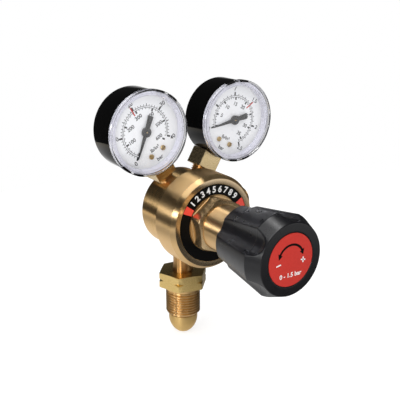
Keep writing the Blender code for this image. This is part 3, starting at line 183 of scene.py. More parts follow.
OUTLET_CORNER_CLOCK = 30.0
OUTLET_CORNER_BREAK = 0.03 * MM
OUTLET_CHAMFER = 0.6 * MM
OUTLET_THREAD = (8.3 * MM, 0.75 * MM, 1.337 * MM)
OUTLET_BORE = 3.6 * MM
OUTLET_SEAT_RADIUS = 5.2 * MM
OUTLET_SEAT_DEPTH = 2.8 * MM
RING_BORE = 17.91 * MM
RING_RED_CLOCKS = ((-66, -54), (58, 73))
RING_RED_SHARE = 0.98
RING_NUMBER_STEP = 11.5
RING_NUMBER_SIZE = 5.4 * MM
RING_NUMBER_WEIGHT = 0.03

# Knob
KNOB_REAR_RADIUS = 19.4 * MM
KNOB_REAR_ROUND = 1.5 * MM
KNOB_CREST_RADIUS = 24.3 * MM
KNOB_CREST_SETBACK = 9.2 * MM
KNOB_CREST_ROUND = 1.2 * MM
KNOB_FACE_RADIUS = 20.7 * MM
KNOB_FACE_ROUND = 0.7 * MM
KNOB_BORE = 14.6 * MM
KNOB_BORE_END = 80.0 * MM
KNOB_WEB_REAR = 97.8 * MM
KNOB_WEB_FRONT = 101.8 * MM
KNOB_RECESS = 0.8 * MM
KNOB_HOLE_BREAK_WIDTH = 0.2 * MM
KNOB_HOLE_BREAK = 0.15 * MM
KNOB_SIDE_STEP = 0.6 * MM
KNOB_FRONT_STEP = 0.4 * MM
KNOB_SHARP = 75.0
KNOB_SEGMENTS = 480
FIXING_HOLE = 3.1 * MM
FIXING_HEAD_HOLE = 5.6 * MM
FLUTES = 5
FLUTE_CLOCK = -59.5
FLUTE_RADIUS = 9.5 * MM
FLUTE_FLOOR_REAR = 17.2 * MM
FLUTE_FLOOR_FRONT = 19.8 * MM
FLUTE_END_SETBACK = 5.6 * MM
FLUTE_SOFTNESS = 0.8 * MM
MOULD_LINE_SETBACK = 10.0 * MM
MOULD_LINE_WIDTH = 0.25 * MM
MOULD_LINE_RISE = 0.1 * MM
ARROW_RADIUS = 8.6 * MM
ARROW_LINE = 1.3 * MM
ARROW_BARB = 1.7 * MM
ARROW_END, ARROW_HEEL, ARROW_TIP = 62, 60, 80
SIGN_CLOCK = 100
SIGN_RADIUS = 8.6 * MM
SIGN_LENGTH = 3.2 * MM
SIGN_WIDTH = 0.7 * MM
RANGE_DROP = 8.6 * MM
RANGE_SIZE = 3.6 * MM

# Gauges
CASE_WALL = 1.2 * MM
CASE_EDGE = 0.5 * MM
CASE_RIM_ROUND = 0.15 * MM
CASE_RIM = CASE_FRONT - 0.45 * MM
LENS_RIM_REAR = CASE_RIM + CLEARANCE
LENS_THICKNESS = 1.6 * MM
LENS_EDGE = 0.5 * MM
LENS_STEP = 0.25 * MM
LENS_ROUND = 0.2 * MM
LENS_LIP = 0.35 * MM
LENS_SEAM = 0.3 * MM
LENS_SEGMENTS = 240
FLANGE_RADIUS = CASE_RADIUS - 0.55 * MM
TAB_CLOCKS = (-11, 11, 169, 191)
TAB_TURNS = {"high": 59.0, "low": -33.0}
TAB_WIDTH = 14.0
TAB_DEPTH = 1.3 * MM
TAB_STEPS = 8
TAB_SIDE_GAP = 0.5
TAB_GAP = 0.05 * MM
SKIRT_OUTER = CASE_RADIUS - CASE_WALL - CLEARANCE
SKIRT_INNER = SKIRT_OUTER - 1.2 * MM
DIAL_RADIUS = CASE_RADIUS - CASE_WALL - 0.6 * MM
DIAL_HOLE = 1.2 * MM
DIAL_SCREW_CIRCLE = 16.0 * MM
DIAL_SCREW_SPREAD = 17.0
DIAL_SCREW_DOME = 0.45 * MM
DIAL_SCREW_HEAD_RADIUS = 1.6 * MM
DIAL_SCREW_SHANK = 1.2 * MM
DIAL_SCREW_HEAD = 1.0 * MM
DIAL_SCREW_SLOT = 0.7 * MM
SOCKET_SQUARE = 14.0 * MM
SOCKET_SQUARE_END = 35.4 * MM
SOCKET_SQUARE_EDGE = 0.8 * MM
SOCKET_SQUARE_LAP = 4.0 * MM
SOCKET_LAP = 1.0 * MM
SOCKET_END = 47.4 * MM
SOCKET_THREAD = (5.5 * MM, 0.7 * MM, 1.337 * MM)
SOCKET_WAIST_RADIUS = 5.0 * MM
BLOCK_SIDE = 6.5 * MM
BLOCK_TOP = 11.8 * MM
BLOCK_BOTTOM = 22.3 * MM
BLOCK_REAR = CASE_REAR + CASE_WALL + CLEARANCE
BLOCK_FRONT = DIAL_REAR - CLEARANCE
POINTER_LENGTH = 17.0 * MM
POINTER_TAIL = 10.0 * MM
POINTER_ROOT_WIDTH = 2.7 * MM
POINTER_TIP_WIDTH = 0.6 * MM
POINTER_TAIL_WIDTH = 3.7 * MM
POINTER_HUB_RADIUS = 3.0 * MM
POINTER_BLADE_LIFT = 0.2 * MM
POINTER_THICKNESS = 0.4 * MM
POINTER_EDGE = 0.06 * MM
POINTER_HUB_ROUND = 0.35 * MM
POINTER_PIN_RADIUS = 0.55 * MM
POINTER_PIN_ROUND = 0.2 * MM

# Dial scales, with the pressures they end at. The zero mark stands where the pointer rests.
SCALE_ZERO_CLOCK = 230.0
SCALE_START_CLOCK = 225.0
SCALE_SWEEP = 270.0
SCALE_ARC_OUTER = 15.5 * MM
SCALE_ARC_INNER = 14.6 * MM
SCALE_LINE = 0.28 * MM
# Length and width of ticks
NUMBER_TICK = (2.3 * MM, 1.05 * MM)
MEDIUM_TICK = (1.6 * MM, 0.45 * MM)
MINOR_TICK = (1.1 * MM, 0.32 * MM)
PSI_NUMBER_TICK = (1.8 * MM, 1.05 * MM)
PSI_MINOR_TICK = (0.95 * MM, 0.3 * MM)
LIMIT_WIDTH = 0.75 * MM
OUTER_NUMBERS = 19.8 * MM
OUTER_NUMBER_SIZE = 3.6 * MM
INNER_NUMBERS = 10.2 * MM
INNER_NUMBER_SIZE = 3.3 * MM
# Drop below the middle and size of each unit's name
UNITS = {"bar": (19.6 * MM, 3.4 * MM), "lb/in²": (12.6 * MM, 3.2 * MM)}
PSI_PER_BAR = 14.504
SCALES = {
    "high": {"top": 40, "number": 10, "medium": 5, "minor": 1,
             "psi_top": 600, "psi_number": 100, "psi_minor": 20,
             "limit_clock": -32.8, "limit_inner": 12.4 * MM, "limit_outer": 18.3 * MM},
    "low": {"top": 2.5, "number": 0.5, "medium": 0.5, "minor": 0.1,
            "psi_top": 36, "psi_number": 5, "psi_minor": 1,
            "limit_clock": 57.5, "limit_inner": 12.0 * MM, "limit_outer": 18.2 * MM},
}

# Springs and diaphragm. Each spring has its joint, travel, coil radius, wire and turns.
SPRINGS = {
    "main": ("button_slide", 8 * MM, 8.6 * MM, 2.4 * MM, 5.5),
    "valve": ("valve_slide", 1 * MM, 3.4 * MM, 0.7 * MM, 3.0),
}
COIL_END_GAP = 0.6 * MM
COIL_STEPS = 40
WIRE_SIDES = 14
DIAPHRAGM_HOLE = 2.7 * MM
DIAPHRAGM_PLATE_EDGE = 16.4 * MM
DIAPHRAGM_RIM = 18.9 * MM
DIAPHRAGM_WEDGES = 12
DIAPHRAGM_FOLDS = 6
WEDGE_STEPS = 4

# Solids shown as they are, in steel
STEEL_NODES = ("slip_ring", "diaphragm_plate", "valve_pin", "spring_button", "thrust_ball", "adjusting_screw",
               "knob_fixing_screw", "hairspring")

# Camera, fitted to the photo
CAMERA_PLACE = (-0.24002, -0.37739, 0.23415)
CAMERA_AZIMUTH = -33.928
CAMERA_ELEVATION = 17.674
CAMERA_ROLL = -0.075
CAMERA_LENS = 65.574
CAMERA_SENSOR = 36.0
CAMERA_CLIP = 0.01

# Studio, as mirror rays see it: dim walls, and a bright floor with the object's own shadow painted on its
# right
FILL_LEVEL = 0.76
WALL_LEVEL = 0.035
# Bright parts of the room as mirrors see them: way, cosine where it starts, cosine where it is full, level
ROOM_GLOWS = (
    ((0.3, 0.9, -0.3), 0.86, 0.96, 0.8),
    ((0.55, -0.78, -0.3), 0.86, 0.97, 1.2),
)
FLOOR_LEVEL = 0.72
FLOOR_MIRROR_BRIGHT = 0.92
FLOOR_MIRROR_DIM = 0.045
FLOOR_MIRROR_SHADE = 0.5
# Where each part of the floor starts and is full, along its way or away from the origin
FLOOR_DIM_WAY = (0.94, -0.34, 0.0)
FLOOR_DIM_SPAN = (-0.02, 0.085)
FLOOR_SHADE_SPAN = (0.11, 0.18)
FLOOR_SHADE_END_SPAN = (0.23, 0.32)
FLOOR_CLEAR_SPAN = (0.28, 0.5)
FLOOR_WARM_WAY = (-0.65, 0.76, 0.0)
FLOOR_WARM_SPAN = (0.24, 0.33)
FLOOR_WARM = (1.0, 0.93, 0.8)
FLOOR_GREYS = ((0.4, 0.4, 0.4), (0.39, 0.39, 0.39))
FLOOR_PLACE = (0.06, -0.08)
FLOOR_RADIUS = 0.46
FLOOR_SIDES = 60
FLOOR_HEIGHT = -0.5 * MM
LAMP_CENTRE = Vector((0, -0.03, 0.09))
DOWN = Vector((0, 0.001, -1))
# Each lamp's place from the centre, size, power and way, which is toward the centre if none is given
LAMPS = {
    "key": (Vector((-0.38, -0.25, 0.92)), (0.8, 0.5), 4.2, DOWN),
    "top": (Vector((0.075, 0.05, 0.95)), (0.2, 0.5), 1.8, DOWN),
    "left": (Vector((-0.534, -0.252, 0.132)), (0.16, 0.09), 0.9, None),
    "side": (Vector((-0.679, 0.056, 0.133)), (0.2, 0.1), 0.5, None),
}

# Frames of the turned pieces
INLET_FRAME = Matrix()
BODY_FRAME = Matrix.Translation((0, 0, AXIS_HEIGHT)) @ Matrix.Rotation(math.pi / 2, 4, "X")
OUTLET_FRAME = (Matrix.Translation((0, OUTLET_PLACE.y, OUTLET_PLACE.z))
                @ Matrix.Rotation(math.pi / 2, 4, "Y"))
GAUGE_CENTRES = {prefix: middle(f"{prefix}_lens") for prefix in ("high", "low")}


def gauge_angle(prefix):
    """Clock angle at which a gauge stands on the body, in radians."""
    centre = GAUGE_CENTRES[prefix]
    return math.atan2(centre.x, centre.z - AXIS_HEIGHT)


def gauge_frame(prefix):
    """A gauge's upright frame. Its pieces lean by the gauge's angle in their own vertices."""
    centre = GAUGE_CENTRES[prefix]
    return Matrix.Translation((centre.x, 0, centre.z)) @ Matrix.Rotation(math.pi / 2, 4, "X")


def leaning_frame(prefix):
    return gauge_frame(prefix) @ Matrix.Rotation(-gauge_angle(prefix), 4, "Z")


def stem_frame(prefix):
    """A gauge's frame turned so that Z runs from the gauge's axis down its stem."""
    return leaning_frame(prefix) @ Matrix.Rotation(math.pi / 2, 4, "X")


def clock(radius, degrees):
    angle = math.radians(degrees)
    return Vector((radius * math.sin(angle), radius * math.cos(angle)))


# Materials
class Nodes:
    """A node tree, and short ways to add to it."""

    def __init__(self, tree):
        self.tree = tree

    def node(self, kind, *sources, inputs=None, **settings):
        """A new node, whose first inputs are joined to the sources."""
        node = self.tree.nodes.new(f"ShaderNode{kind}")
        for name, value in settings.items():
            setattr(node, name, value)
        for key, value in (inputs or {}).items():
            node.inputs[key].default_value = value
        for source, target in zip(sources, node.inputs):
            self.link(source, target)
        return node

    def link(self, source, target):
        self.tree.links.new(source, target)

    def most(self, first, second):
        return self.node("Math", first, second, operation="MAXIMUM").outputs[0]

    def least(self, first, second):
        return self.node("Math", first, second, operation="MINIMUM").outputs[0]

    def along(self, place, way):
        """How far a place lies along a way."""
        return self.node("VectorMath", place, inputs={1: way}, operation="DOT_PRODUCT").outputs["Value"]

    def spread(self, value, low, high, start=0.3, end=0.7):
        """Maps a value's span, at first the usual one of noise, onto another range."""
        ends = {"From Min": start, "From Max": end, "To Min": low, "To Max": high}
        return self.node("MapRange", value, inputs=ends).outputs["Result"]

    def blend(self, share, first, second):
        """Goes from one colour to another."""
        colours = {"A": (*first, 1), "B": (*second, 1)}
        return self.node("Mix", share, data_type="RGBA", inputs=colours).outputs["Result"]

    def choose(self, share, first, second):
        """Goes from one shader to another."""
        return self.node("MixShader", share, first, second).outputs["Shader"]


class Look(Nodes):
    """A Principled material that is built up with procedural texture."""

    def __init__(self, name, colour, roughness, metallic=0.0, **sockets):
        self.material = bpy.data.materials.new(name)
        self.material.use_nodes = True
        super().__init__(self.material.node_tree)
        self.shader = self.tree.nodes["Principled BSDF"]
        self.colour = colour
        sockets.update(Base_Color=(*colour, 1), Roughness=roughness, Metallic=metallic)
        for socket, value in sockets.items():
            self.shader.inputs[socket.replace("_", " ")].default_value = value

    def coordinates(self, scale=(1, 1, 1)):
        """Object coordinates, stretched along each axis."""
        source = self.node("TexCoord").outputs["Object"]
        return self.node("Mapping", source, inputs={"Scale": scale}).outputs["Vector"]

    def ring_coordinates(self):
        """Radius and station about the local Z axis, so that noise runs in turned rings."""
        source = self.node("TexCoord").outputs["Object"]
        flat = self.node("VectorMath", source, inputs={1: (1, 1, 0)}, operation="MULTIPLY")
        radius = self.node("VectorMath", flat.outputs["Vector"], operation="LENGTH").outputs["Value"]
        station = self.node("SeparateXYZ", source).outputs["Z"]
        return self.node("CombineXYZ", radius, station).outputs["Vector"]

    def noise(self, vector, scale, detail):
        return self.node("TexNoise", vector, inputs={"Scale": scale, "Detail": detail}).outputs[0]

    def vary_roughness(self, value, low, high):
        self.link(self.spread(value, low, high), self.shader.inputs["Roughness"])

    def vary_colour(self, value, other):
        self.link(self.blend(self.spread(value, 0, 1), self.colour, other), self.shader.inputs["Base Color"])

    def bump(self, value, strength, depth=0.01 * MM):
        node = self.node("Bump", inputs={"Strength": strength, "Distance": depth})
        self.link(value, node.inputs["Height"])
        self.link(node.outputs["Normal"], self.shader.inputs["Normal"])

    def turned_sheen(self, amount):
        """Stretches highlights along the axis, as turning marks do."""
        tangent = self.node("Tangent", direction_type="RADIAL", axis="Z")
        self.shader.inputs["Anisotropic"].default_value = amount
        self.shader.inputs["Anisotropic Rotation"].default_value = QUARTER_TURN
        self.link(tangent.outputs["Tangent"], self.shader.inputs["Tangent"])

    def instead(self, share, other):
        """Shows another shader where the share is 1."""
        mixed = self.choose(share, self.shader.outputs["BSDF"], other)
        self.link(mixed, self.tree.nodes["Material Output"].inputs["Surface"])


def turned_metal(name, colour, other, roughness, sheen, groove=0.08):
    look = Look(name, colour, roughness, 1.0)
    fine = look.noise(look.ring_coordinates(), scale=5000, detail=2)
    look.vary_roughness(fine, roughness * 0.8, roughness * 1.25)
    look.vary_colour(look.noise(look.coordinates(), scale=90, detail=4), other)
    look.bump(fine, groove)
    look.turned_sheen(sheen)
    return look.material


def milled_metal(name, colour, other, roughness, grain, cut=0.1):
    look = Look(name, colour, roughness, 1.0)
    fine = look.noise(look.coordinates(grain), scale=1500, detail=3)
    look.vary_roughness(fine, roughness * 0.8, roughness * 1.3)
    look.vary_colour(look.noise(look.coordinates(), scale=110, detail=4), other)
    look.bump(fine, cut)
    return look.material


def moulded(name, colour, roughness, texture=0.1, scale=2200, gloss=0.5):
    look = Look(name, colour, roughness, Specular_IOR_Level=gloss)
    cloud = look.noise(look.coordinates(), scale=160, detail=3)
    look.vary_roughness(cloud, roughness * 0.9, roughness * 1.15)
    look.bump(look.noise(look.coordinates(), scale, detail=2), texture)
    return look.material


def printed(name, colour, other, roughness, gloss=0.5):
    look = Look(name, colour, roughness, Specular_IOR_Level=gloss)
    look.vary_colour(look.noise(look.coordinates(), scale=700, detail=3), other)
    return look.material


def plastic(name, colour, clearness, low, high):
    """Plastic that is clear to the rays that carry light, so that what lies behind it is lit."""
    look = Look(name, colour, (low + high) / 2, Transmission_Weight=clearness, IOR=1.49)
    look.vary_roughness(look.noise(look.coordinates(), scale=300, detail=2), low, high)
    rays = look.node("LightPath").outputs
    light = look.most(rays["Is Shadow Ray"], rays["Is Diffuse Ray"])
    look.instead(light, look.node("BsdfTransparent").outputs["BSDF"])
    return look.material


BRASS = turned_metal("turned_brass", (0.82, 0.56, 0.28), (0.78, 0.52, 0.24), 0.34, 1.0)
FACE_BRASS = turned_metal("face_brass", (0.84, 0.64, 0.41), (0.80, 0.60, 0.37), 0.2, 0.4, 0.01)
NECK_BRASS = turned_metal("neck_brass", (0.86, 0.60, 0.32), (0.82, 0.56, 0.28), 0.44, 1.0)
BODY_BRASS = turned_metal("body_brass", (0.82, 0.55, 0.26), (0.78, 0.51, 0.22), 0.28, 1.0)
NUT_BRASS = milled_metal("nut_brass", (0.78, 0.56, 0.22), (0.70, 0.50, 0.19), 0.26, (6, 6, 1))
THREAD_BRASS = turned_metal("thread_brass", (0.82, 0.54, 0.25), (0.74, 0.47, 0.2), 0.3, 0.9)
NOSE_BRASS = turned_metal("nose_brass", (0.78, 0.53, 0.21), (0.72, 0.48, 0.18), 0.45, 0.8)
STEM_BRASS = turned_metal("stem_brass", (0.80, 0.48, 0.2), (0.75, 0.43, 0.17), 0.34, 0.97)
HUB_BRASS = milled_metal("hub_brass", (0.84, 0.60, 0.33), (0.78, 0.55, 0.29), 0.3, (1, 1, 4), 0.02)
SOCKET_BRASS = milled_metal("socket_brass", (0.92, 0.72, 0.42), (0.84, 0.64, 0.34), 0.24, (1, 1, 5))
MOVEMENT_BRASS = milled_metal("movement_brass", (0.66, 0.47, 0.21), (0.60, 0.42, 0.17), 0.3, (4, 1, 1))
SCREW_BRASS = turned_metal("screw_brass", (0.64, 0.46, 0.22), (0.55, 0.38, 0.16), 0.3, 0.3)
STEEL = turned_metal("steel", (0.56, 0.56, 0.57), (0.48, 0.48, 0.5), 0.28, 0.4)
BRONZE = milled_metal("bronze", (0.45, 0.27, 0.12), (0.33, 0.2, 0.09), 0.6, (1, 1, 1))
RUBBER = moulded("rubber", (0.03, 0.03, 0.03), 0.75)
KNOB_PLASTIC = moulded("knob_plastic", (0.006, 0.006, 0.0075), 0.29, 0.1, gloss=0.55)
ENAMEL = moulded("black_enamel", (0.002, 0.002, 0.002), 0.06, 0.03, 900, gloss=0.15)
BLACK_PRINT = printed("black_print", (0.002, 0.002, 0.002), (0.003, 0.003, 0.003), 0.4, 0.12)
RED_PRINT = printed("red_print", (0.55, 0.03, 0.02), (0.51, 0.027, 0.018), 0.45, 0.2)
# Red print of the bonnet's ring, brighter than the knob's red: a painted sheen from the left lamp
RING_RED_PAINTED_SHEEN = printed("ring_red_print_painted_sheen", (0.88, 0.08, 0.05), (0.84, 0.07, 0.045), 0.4, 0.3)
WHITE_PRINT = printed("white_print", (0.85, 0.85, 0.84), (0.8, 0.8, 0.8), 0.45)
DIAL_WHITE = printed("dial_white", (0.93, 0.94, 0.97), (0.915, 0.925, 0.955), 0.45)
DIAL_INK = printed("dial_ink", (0.004, 0.004, 0.005), (0.008, 0.008, 0.009), 0.5, 0.2)
POINTER_BLACK = moulded("pointer_black", (0.02, 0.02, 0.021), 0.4, 0.05)
CLEAR = plastic("clear_plastic", (0.99, 0.99, 1.0), 1.0, 0.02, 0.04)
MILKY = plastic("milky_plastic", (0.68, 0.68, 0.765), 0.2, 0.25, 0.35)


# Mesh building
def even_steps(start, end, steps):
    return [start + (end - start) * step / steps for step in range(steps + 1)]


def clamp(value):
    return min(1.0, max(0.0, value))


def rectangle(left, right, low, high):
    return [(left, low), (right, low), (right, high), (left, high)]


def stepped(*turns):
    """A stepped outline from a station, a radius and so on in turn, each held until the next of its kind."""
    pairs = enumerate(zip(turns, turns[1:]))
    return [pair if index % 2 else pair[::-1] for index, pair in pairs]


def disc(inner, radius, rear, front, edge):
    """The outline of a disc or ring with a rounded front edge."""
    return fillet([(inner, rear), (radius, rear), (radius, front, edge), (inner, front)])


def corner_radius(across_flats):
    return across_flats / 2 / math.cos(math.pi / 6)


def fillet(corners):
    """Rounds an outline's corners, each given as (radius, station) or (radius, station, round)."""
    points = []
    for index, corner in enumerate(corners):
        here = Vector(corner[:2])
        if len(corner) == 2:
            points.append(here)
            continue
        before = (Vector(corners[index - 1][:2]) - here).normalized()
        after = (Vector(corners[(index + 1) % len(corners)][:2]) - here).normalized()
        angle = before.angle(after)
        centre = here + (before + after).normalized() * (corner[2] / math.sin(angle / 2))
        start = here + before * (corner[2] / math.tan(angle / 2)) - centre
        turn = angle - math.pi if before.cross(after) > 0 else math.pi - angle
        points += [centre + Matrix.Rotation(part, 2) @ start for part in even_steps(0, turn, ROUND_STEPS)]
    return points


def refine(points, step):
    """Splits an outline's long edges, where a shape needs more rings."""
    fine = []
    for start, end in zip(points, points[1:]):
        start, end = Vector(start), Vector(end)
        parts = max(1, math.ceil((end - start).length / step))
        fine += [start.lerp(end, part / parts) for part in range(parts)]
    return fine + [Vector(points[-1])]


def skin(bm, rings, closed=False):
    """Joins rings of vertices, one after another. A ring of one vertex is a point."""
    pairs = list(zip(rings, rings[1:]))
    if closed:
        pairs.append((rings[-1], rings[0]))
    for first, second in pairs:
        count = max(len(first), len(second))
        for index in range(count):
            after = (index + 1) % count
            corners = [first[index % len(first)], first[after % len(first)],
                       second[after % len(second)], second[index % len(second)]]
            bm.faces.new(list(dict.fromkeys(corners)))


def loft(sections, bm=None):
    """Joins sections, each a list of points, into a solid with flat ends."""
    bm = bm or bmesh.new()
    rings = [[bm.verts.new(point) for point in section] for section in sections]
    skin(bm, rings)
    bm.faces.new(rings[0])
    bm.faces.new(rings[-1])
    return bm


def extrude(outline, low, high, bm=None):
    """A prism over a flat outline of (x, y) points."""
    return loft([[(x, y, height) for x, y in outline] for height in (low, high)], bm)


def sweep(section, clocks, bm=None):
    """Turns a section of (radius, station) points about Z, through clock angles."""
    sections = [[(*clock(radius, degrees), station) for radius, station in section] for degrees in clocks]
    return loft(sections, bm)


def revolve(outline, segments=SEGMENTS, shape=None):
    """Spins an outline about Z. A shape function may change a point's radius by its angle and station."""
    bm = bmesh.new()
    rings = []
    for radius, station in outline:
        if radius < INK / 2:
            rings.append([bm.verts.new((0, 0, station))])
            continue
        ring = []
        for index in range(segments):
            angle = math.tau * index / segments
            reach = shape(angle, radius, station) if shape else radius
            ring.append(bm.verts.new((reach * math.cos(angle), reach * math.sin(angle), station)))
        rings.append(ring)
    skin(bm, rings, closed=len(rings[0]) > 1)
    return bm


def smooth(mesh, sharp=SHARP):
    mesh.shade_smooth()
    mesh.set_sharp_from_angle(angle=math.radians(sharp))


def add_object(name, data):
    obj = bpy.data.objects.new(name, data)
    bpy.context.scene.collection.objects.link(obj)
    return obj


def make_object(name, bm, place, material, sharp=SHARP, turn=0.0):
    """A piece with its place as its matrix, and its turn about Z in its vertices."""
    bm.transform(Matrix.Rotation(turn, 4, "Z"))
    bmesh.ops.recalc_face_normals(bm, faces=bm.faces)
    mesh = bpy.data.meshes.new(name)
    bm.to_mesh(mesh)
    bm.free()
    smooth(mesh, sharp)
    mesh.materials.append(material)
    obj = add_object(name, mesh)
    obj.matrix_world = place
    return obj


def turned(name, outline, place, material, segments=SEGMENTS, shape=None, sharp=SHARP):
    return make_object(name, revolve(outline, segments, shape), place, material, sharp)


def finish_part(obj, material, chosen):
    """Gives a second finish to the faces picked by their radius, station and forward facing."""
    obj.data.materials.append(material)
    index = len(obj.data.materials) - 1
    for face in obj.data.polygons:
        if chosen(face.center.xy.length, face.center.z, face.normal.z):
            face.material_index = index


def dress(obj, slot, *nodes, body="regulator", bend=None):
    """Puts a piece on its body, or with a bend bakes its place into its vertices, in place of the CAD nodes
    it stands for.
    """
    if bend:
        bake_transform(obj)
    else:
        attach(obj, body)
    if nodes:
        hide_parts(*nodes)


def combine(obj, bm, operation, place=None):
    """Cuts or trims a piece with a tool shape, which is then deleted."""
    tool = make_object(f"{obj.name}_tool", bm, place or obj.matrix_world, obj.data.materials[0])
    modifier = obj.modifiers.new(operation, "BOOLEAN")
    modifier.operation = operation
    modifier.solver = "EXACT"
    modifier.object = tool
    bpy.context.view_layer.update()
    mesh = bpy.data.meshes.new_from_object(obj.evaluated_get(bpy.context.evaluated_depsgraph_get()))
    mesh.name = obj.name
    obj.modifiers.clear()
    obj.data = mesh
    smooth(mesh)
    bpy.data.objects.remove(tool, do_unlink=True)


def soften(obj, width=EDGE, segments=2):
    """Breaks a piece's sharp edges, so that they catch the light."""
    bevel = obj.modifiers.new("edges", "BEVEL")
    bevel.width = width
    bevel.segments = segments
    bevel.limit_method = "ANGLE"
    bevel.angle_limit = math.radians(SHARP)
    bevel.harden_normals = True
    return obj


def cut_hexagon(obj, across_flats, corner_clock, low, high):
    """Trims a turned blank to six flats and breaks its edges."""
    corners = [clock(corner_radius(across_flats), corner_clock + 60 * side) for side in range(6)]
    combine(obj, extrude(corners, low, high), "INTERSECT")
    return soften(obj)


def threaded(name, outline, place, thread, low, high, segments, hand=-1):
    """A turned piece with a V thread, which fades out at its ends. A left-hand thread's hand is -1."""
    crest, depth, pitch = thread

    def shape(angle, radius, station):
        if radius < crest - THREAD_REACH * depth:
            return radius
        phase = (station / pitch - hand * angle / math.tau) % 1
        valley = clamp(THREAD_STEEPNESS * abs(2 * phase - 1) - THREAD_ROOT)
        fade = min(clamp((station - low) / pitch), clamp((high - station) / pitch))
        return min(radius, crest - depth * (1 - valley) * fade)

    return turned(name, outline, place, THREAD_BRASS, segments, shape, THREAD_SHARP)


# Flat print
class Print:
    """Ink on a flat face, as one piece: bars, arcs, patches and words."""

    def __init__(self):
        self.bm = bmesh.new()

    def patch(self, outline):
        extrude(outline, 0, INK, self.bm)

    def bar(self, degrees, inner, outer, width):
        """A radial bar at a clock angle."""
        across = clock(width / 2, degrees + 90)
        start, end = clock(inner, degrees), clock(outer, degrees)
        self.patch([start - across, start + across, end + across, end - across])

    def arc(self, start, end, radius, width):
        """A line of even width along a circle, between two clock angles."""
        section = rectangle(radius - width / 2, radius + width / 2, 0, INK)
        sweep(section, even_steps(start, end, round((end - start) / ARC_STEP)), self.bm)

    def word(self, text, centre, size, turn=0.0, weight=0.02):
        """Words centred on a point, turned counterclockwise by an angle in degrees."""
        curve = bpy.data.curves.new(text, "FONT")
        curve.body = text
        curve.size = size
        curve.align_x = "CENTER"
        curve.align_y = "CENTER"
        curve.extrude = INK / 2
        curve.offset = size * weight
        curve.resolution_u = 4
        letters = bpy.data.objects.new(text, curve)
        mesh = bpy.data.meshes.new_from_object(letters)
        mesh.transform(Matrix.Translation((*centre, INK / 2)) @ Matrix.Rotation(math.radians(turn), 4, "Z"))
        self.bm.from_mesh(mesh)
        bpy.data.objects.remove(letters)
        bpy.data.curves.remove(curve)
        bpy.data.meshes.remove(mesh)

    def piece(self, name, station, place, material, slot, body="regulator", turn=0.0):
        lift = Matrix.Translation((0, 0, station + INK / 4))
        dress(make_object(name, self.bm, place @ lift, material, turn=turn), slot, body=body)


# Body, bonnet and inlet
def regulator_body():
    outline = fillet([
        (0, BODY_REAR),
        (BODY_RADIUS - BODY_CHAMFER, BODY_REAR, EDGE),
        (BODY_RADIUS, BODY_REAR + BODY_CHAMFER, EDGE),
        (BODY_RADIUS, BODY_SHOULDER, EDGE),
        *stepped(BODY_SHOULDER, SPIGOT_OUTER, BODY_FRONT, CHAMBER_RADIUS, CHAMBER_FLOOR, VALVE_BORE,
                 VALVE_BORE_FLOOR, 0),
    ])
    dress(turned("body_drum", outline, BODY_FRAME, BODY_BRASS), "turned_brass", "regulator_body")


def bonnet():
    recess = RING_RADIUS + CLEARANCE
    floor = RING_REAR - CLEARANCE
    outline = fillet([
        (SKIRT_BORE, BONNET_REAR),
        (BONNET_RADIUS, BONNET_REAR, BONNET_EDGE),
        (BONNET_RADIUS, BONNET_FRONT - BONNET_CHAMFER_LENGTH, EDGE),
        (BONNET_RADIUS - BONNET_CHAMFER_DEPTH, BONNET_FRONT, EDGE),
        (recess, BONNET_FRONT, FINE_EDGE),
        (recess, floor),
        (NECK_RADIUS, floor),
        (NECK_RADIUS, NECK_FRONT - NECK_CHAMFER, EDGE),
        (NECK_RADIUS - NECK_CHAMFER, NECK_FRONT),
        *stepped(NECK_FRONT, SCREW_HOLE, SPRING_BORE_FRONT, SPRING_BORE, PLATE_ROOM_FRONT, CHAMBER_RADIUS,
                 BONNET_SEAT, SKIRT_BORE),
    ])
    cap = turned("bonnet_cap", outline, BODY_FRAME, BRASS)
    finish_part(cap, FACE_BRASS, lambda radius, station, facing: facing > FLAT_FACING and radius > recess)
    finish_part(cap, NECK_BRASS, lambda radius, station, facing: station > HUB_FRONT and radius > SPRING_BORE)
    dress(cap, "turned_brass", "bonnet")
    bonnet_hexagon(floor)


def bonnet_hexagon(base):
    """A round with six flats, each milled by a cutter whose rear end curves up to the collar."""
    inside = (SPRING_BORE + NECK_RADIUS) / 2
    blank = fillet([
        (inside, base),
        (HUB_RADIUS, base),
        (HUB_RADIUS, HUB_FRONT - HUB_CHAMFER, HUB_SHOULDER_ROUND),
        (HUB_RADIUS - HUB_CHAMFER_WIDTH, HUB_FRONT, HUB_FRONT_ROUND),
        (inside, HUB_FRONT),
    ])
    hub = turned("bonnet_hexagon", blank, BODY_FRAME, HUB_BRASS)
    flat, top = HUB_HEX / 2, 2 * HUB_RADIUS
    rear, past = BONNET_FRONT + HUB_COLLAR, HUB_FRONT + HUB_CHAMFER
    profile = fillet([(flat, past), (flat, rear, HUB_RUNOUT), (top, rear), (top, past)])
    for side in range(6):
        turn = math.radians(-HUB_CORNER_CLOCK - 30 - 60 * side)
        cutter = loft([[(end * HUB_RADIUS, *point) for point in profile] for end in (-1, 1)])
        combine(hub, cutter, "DIFFERENCE", BODY_FRAME @ Matrix.Rotation(turn, 4, "Z"))
    dress(soften(hub, FINE_EDGE), "turned_brass")


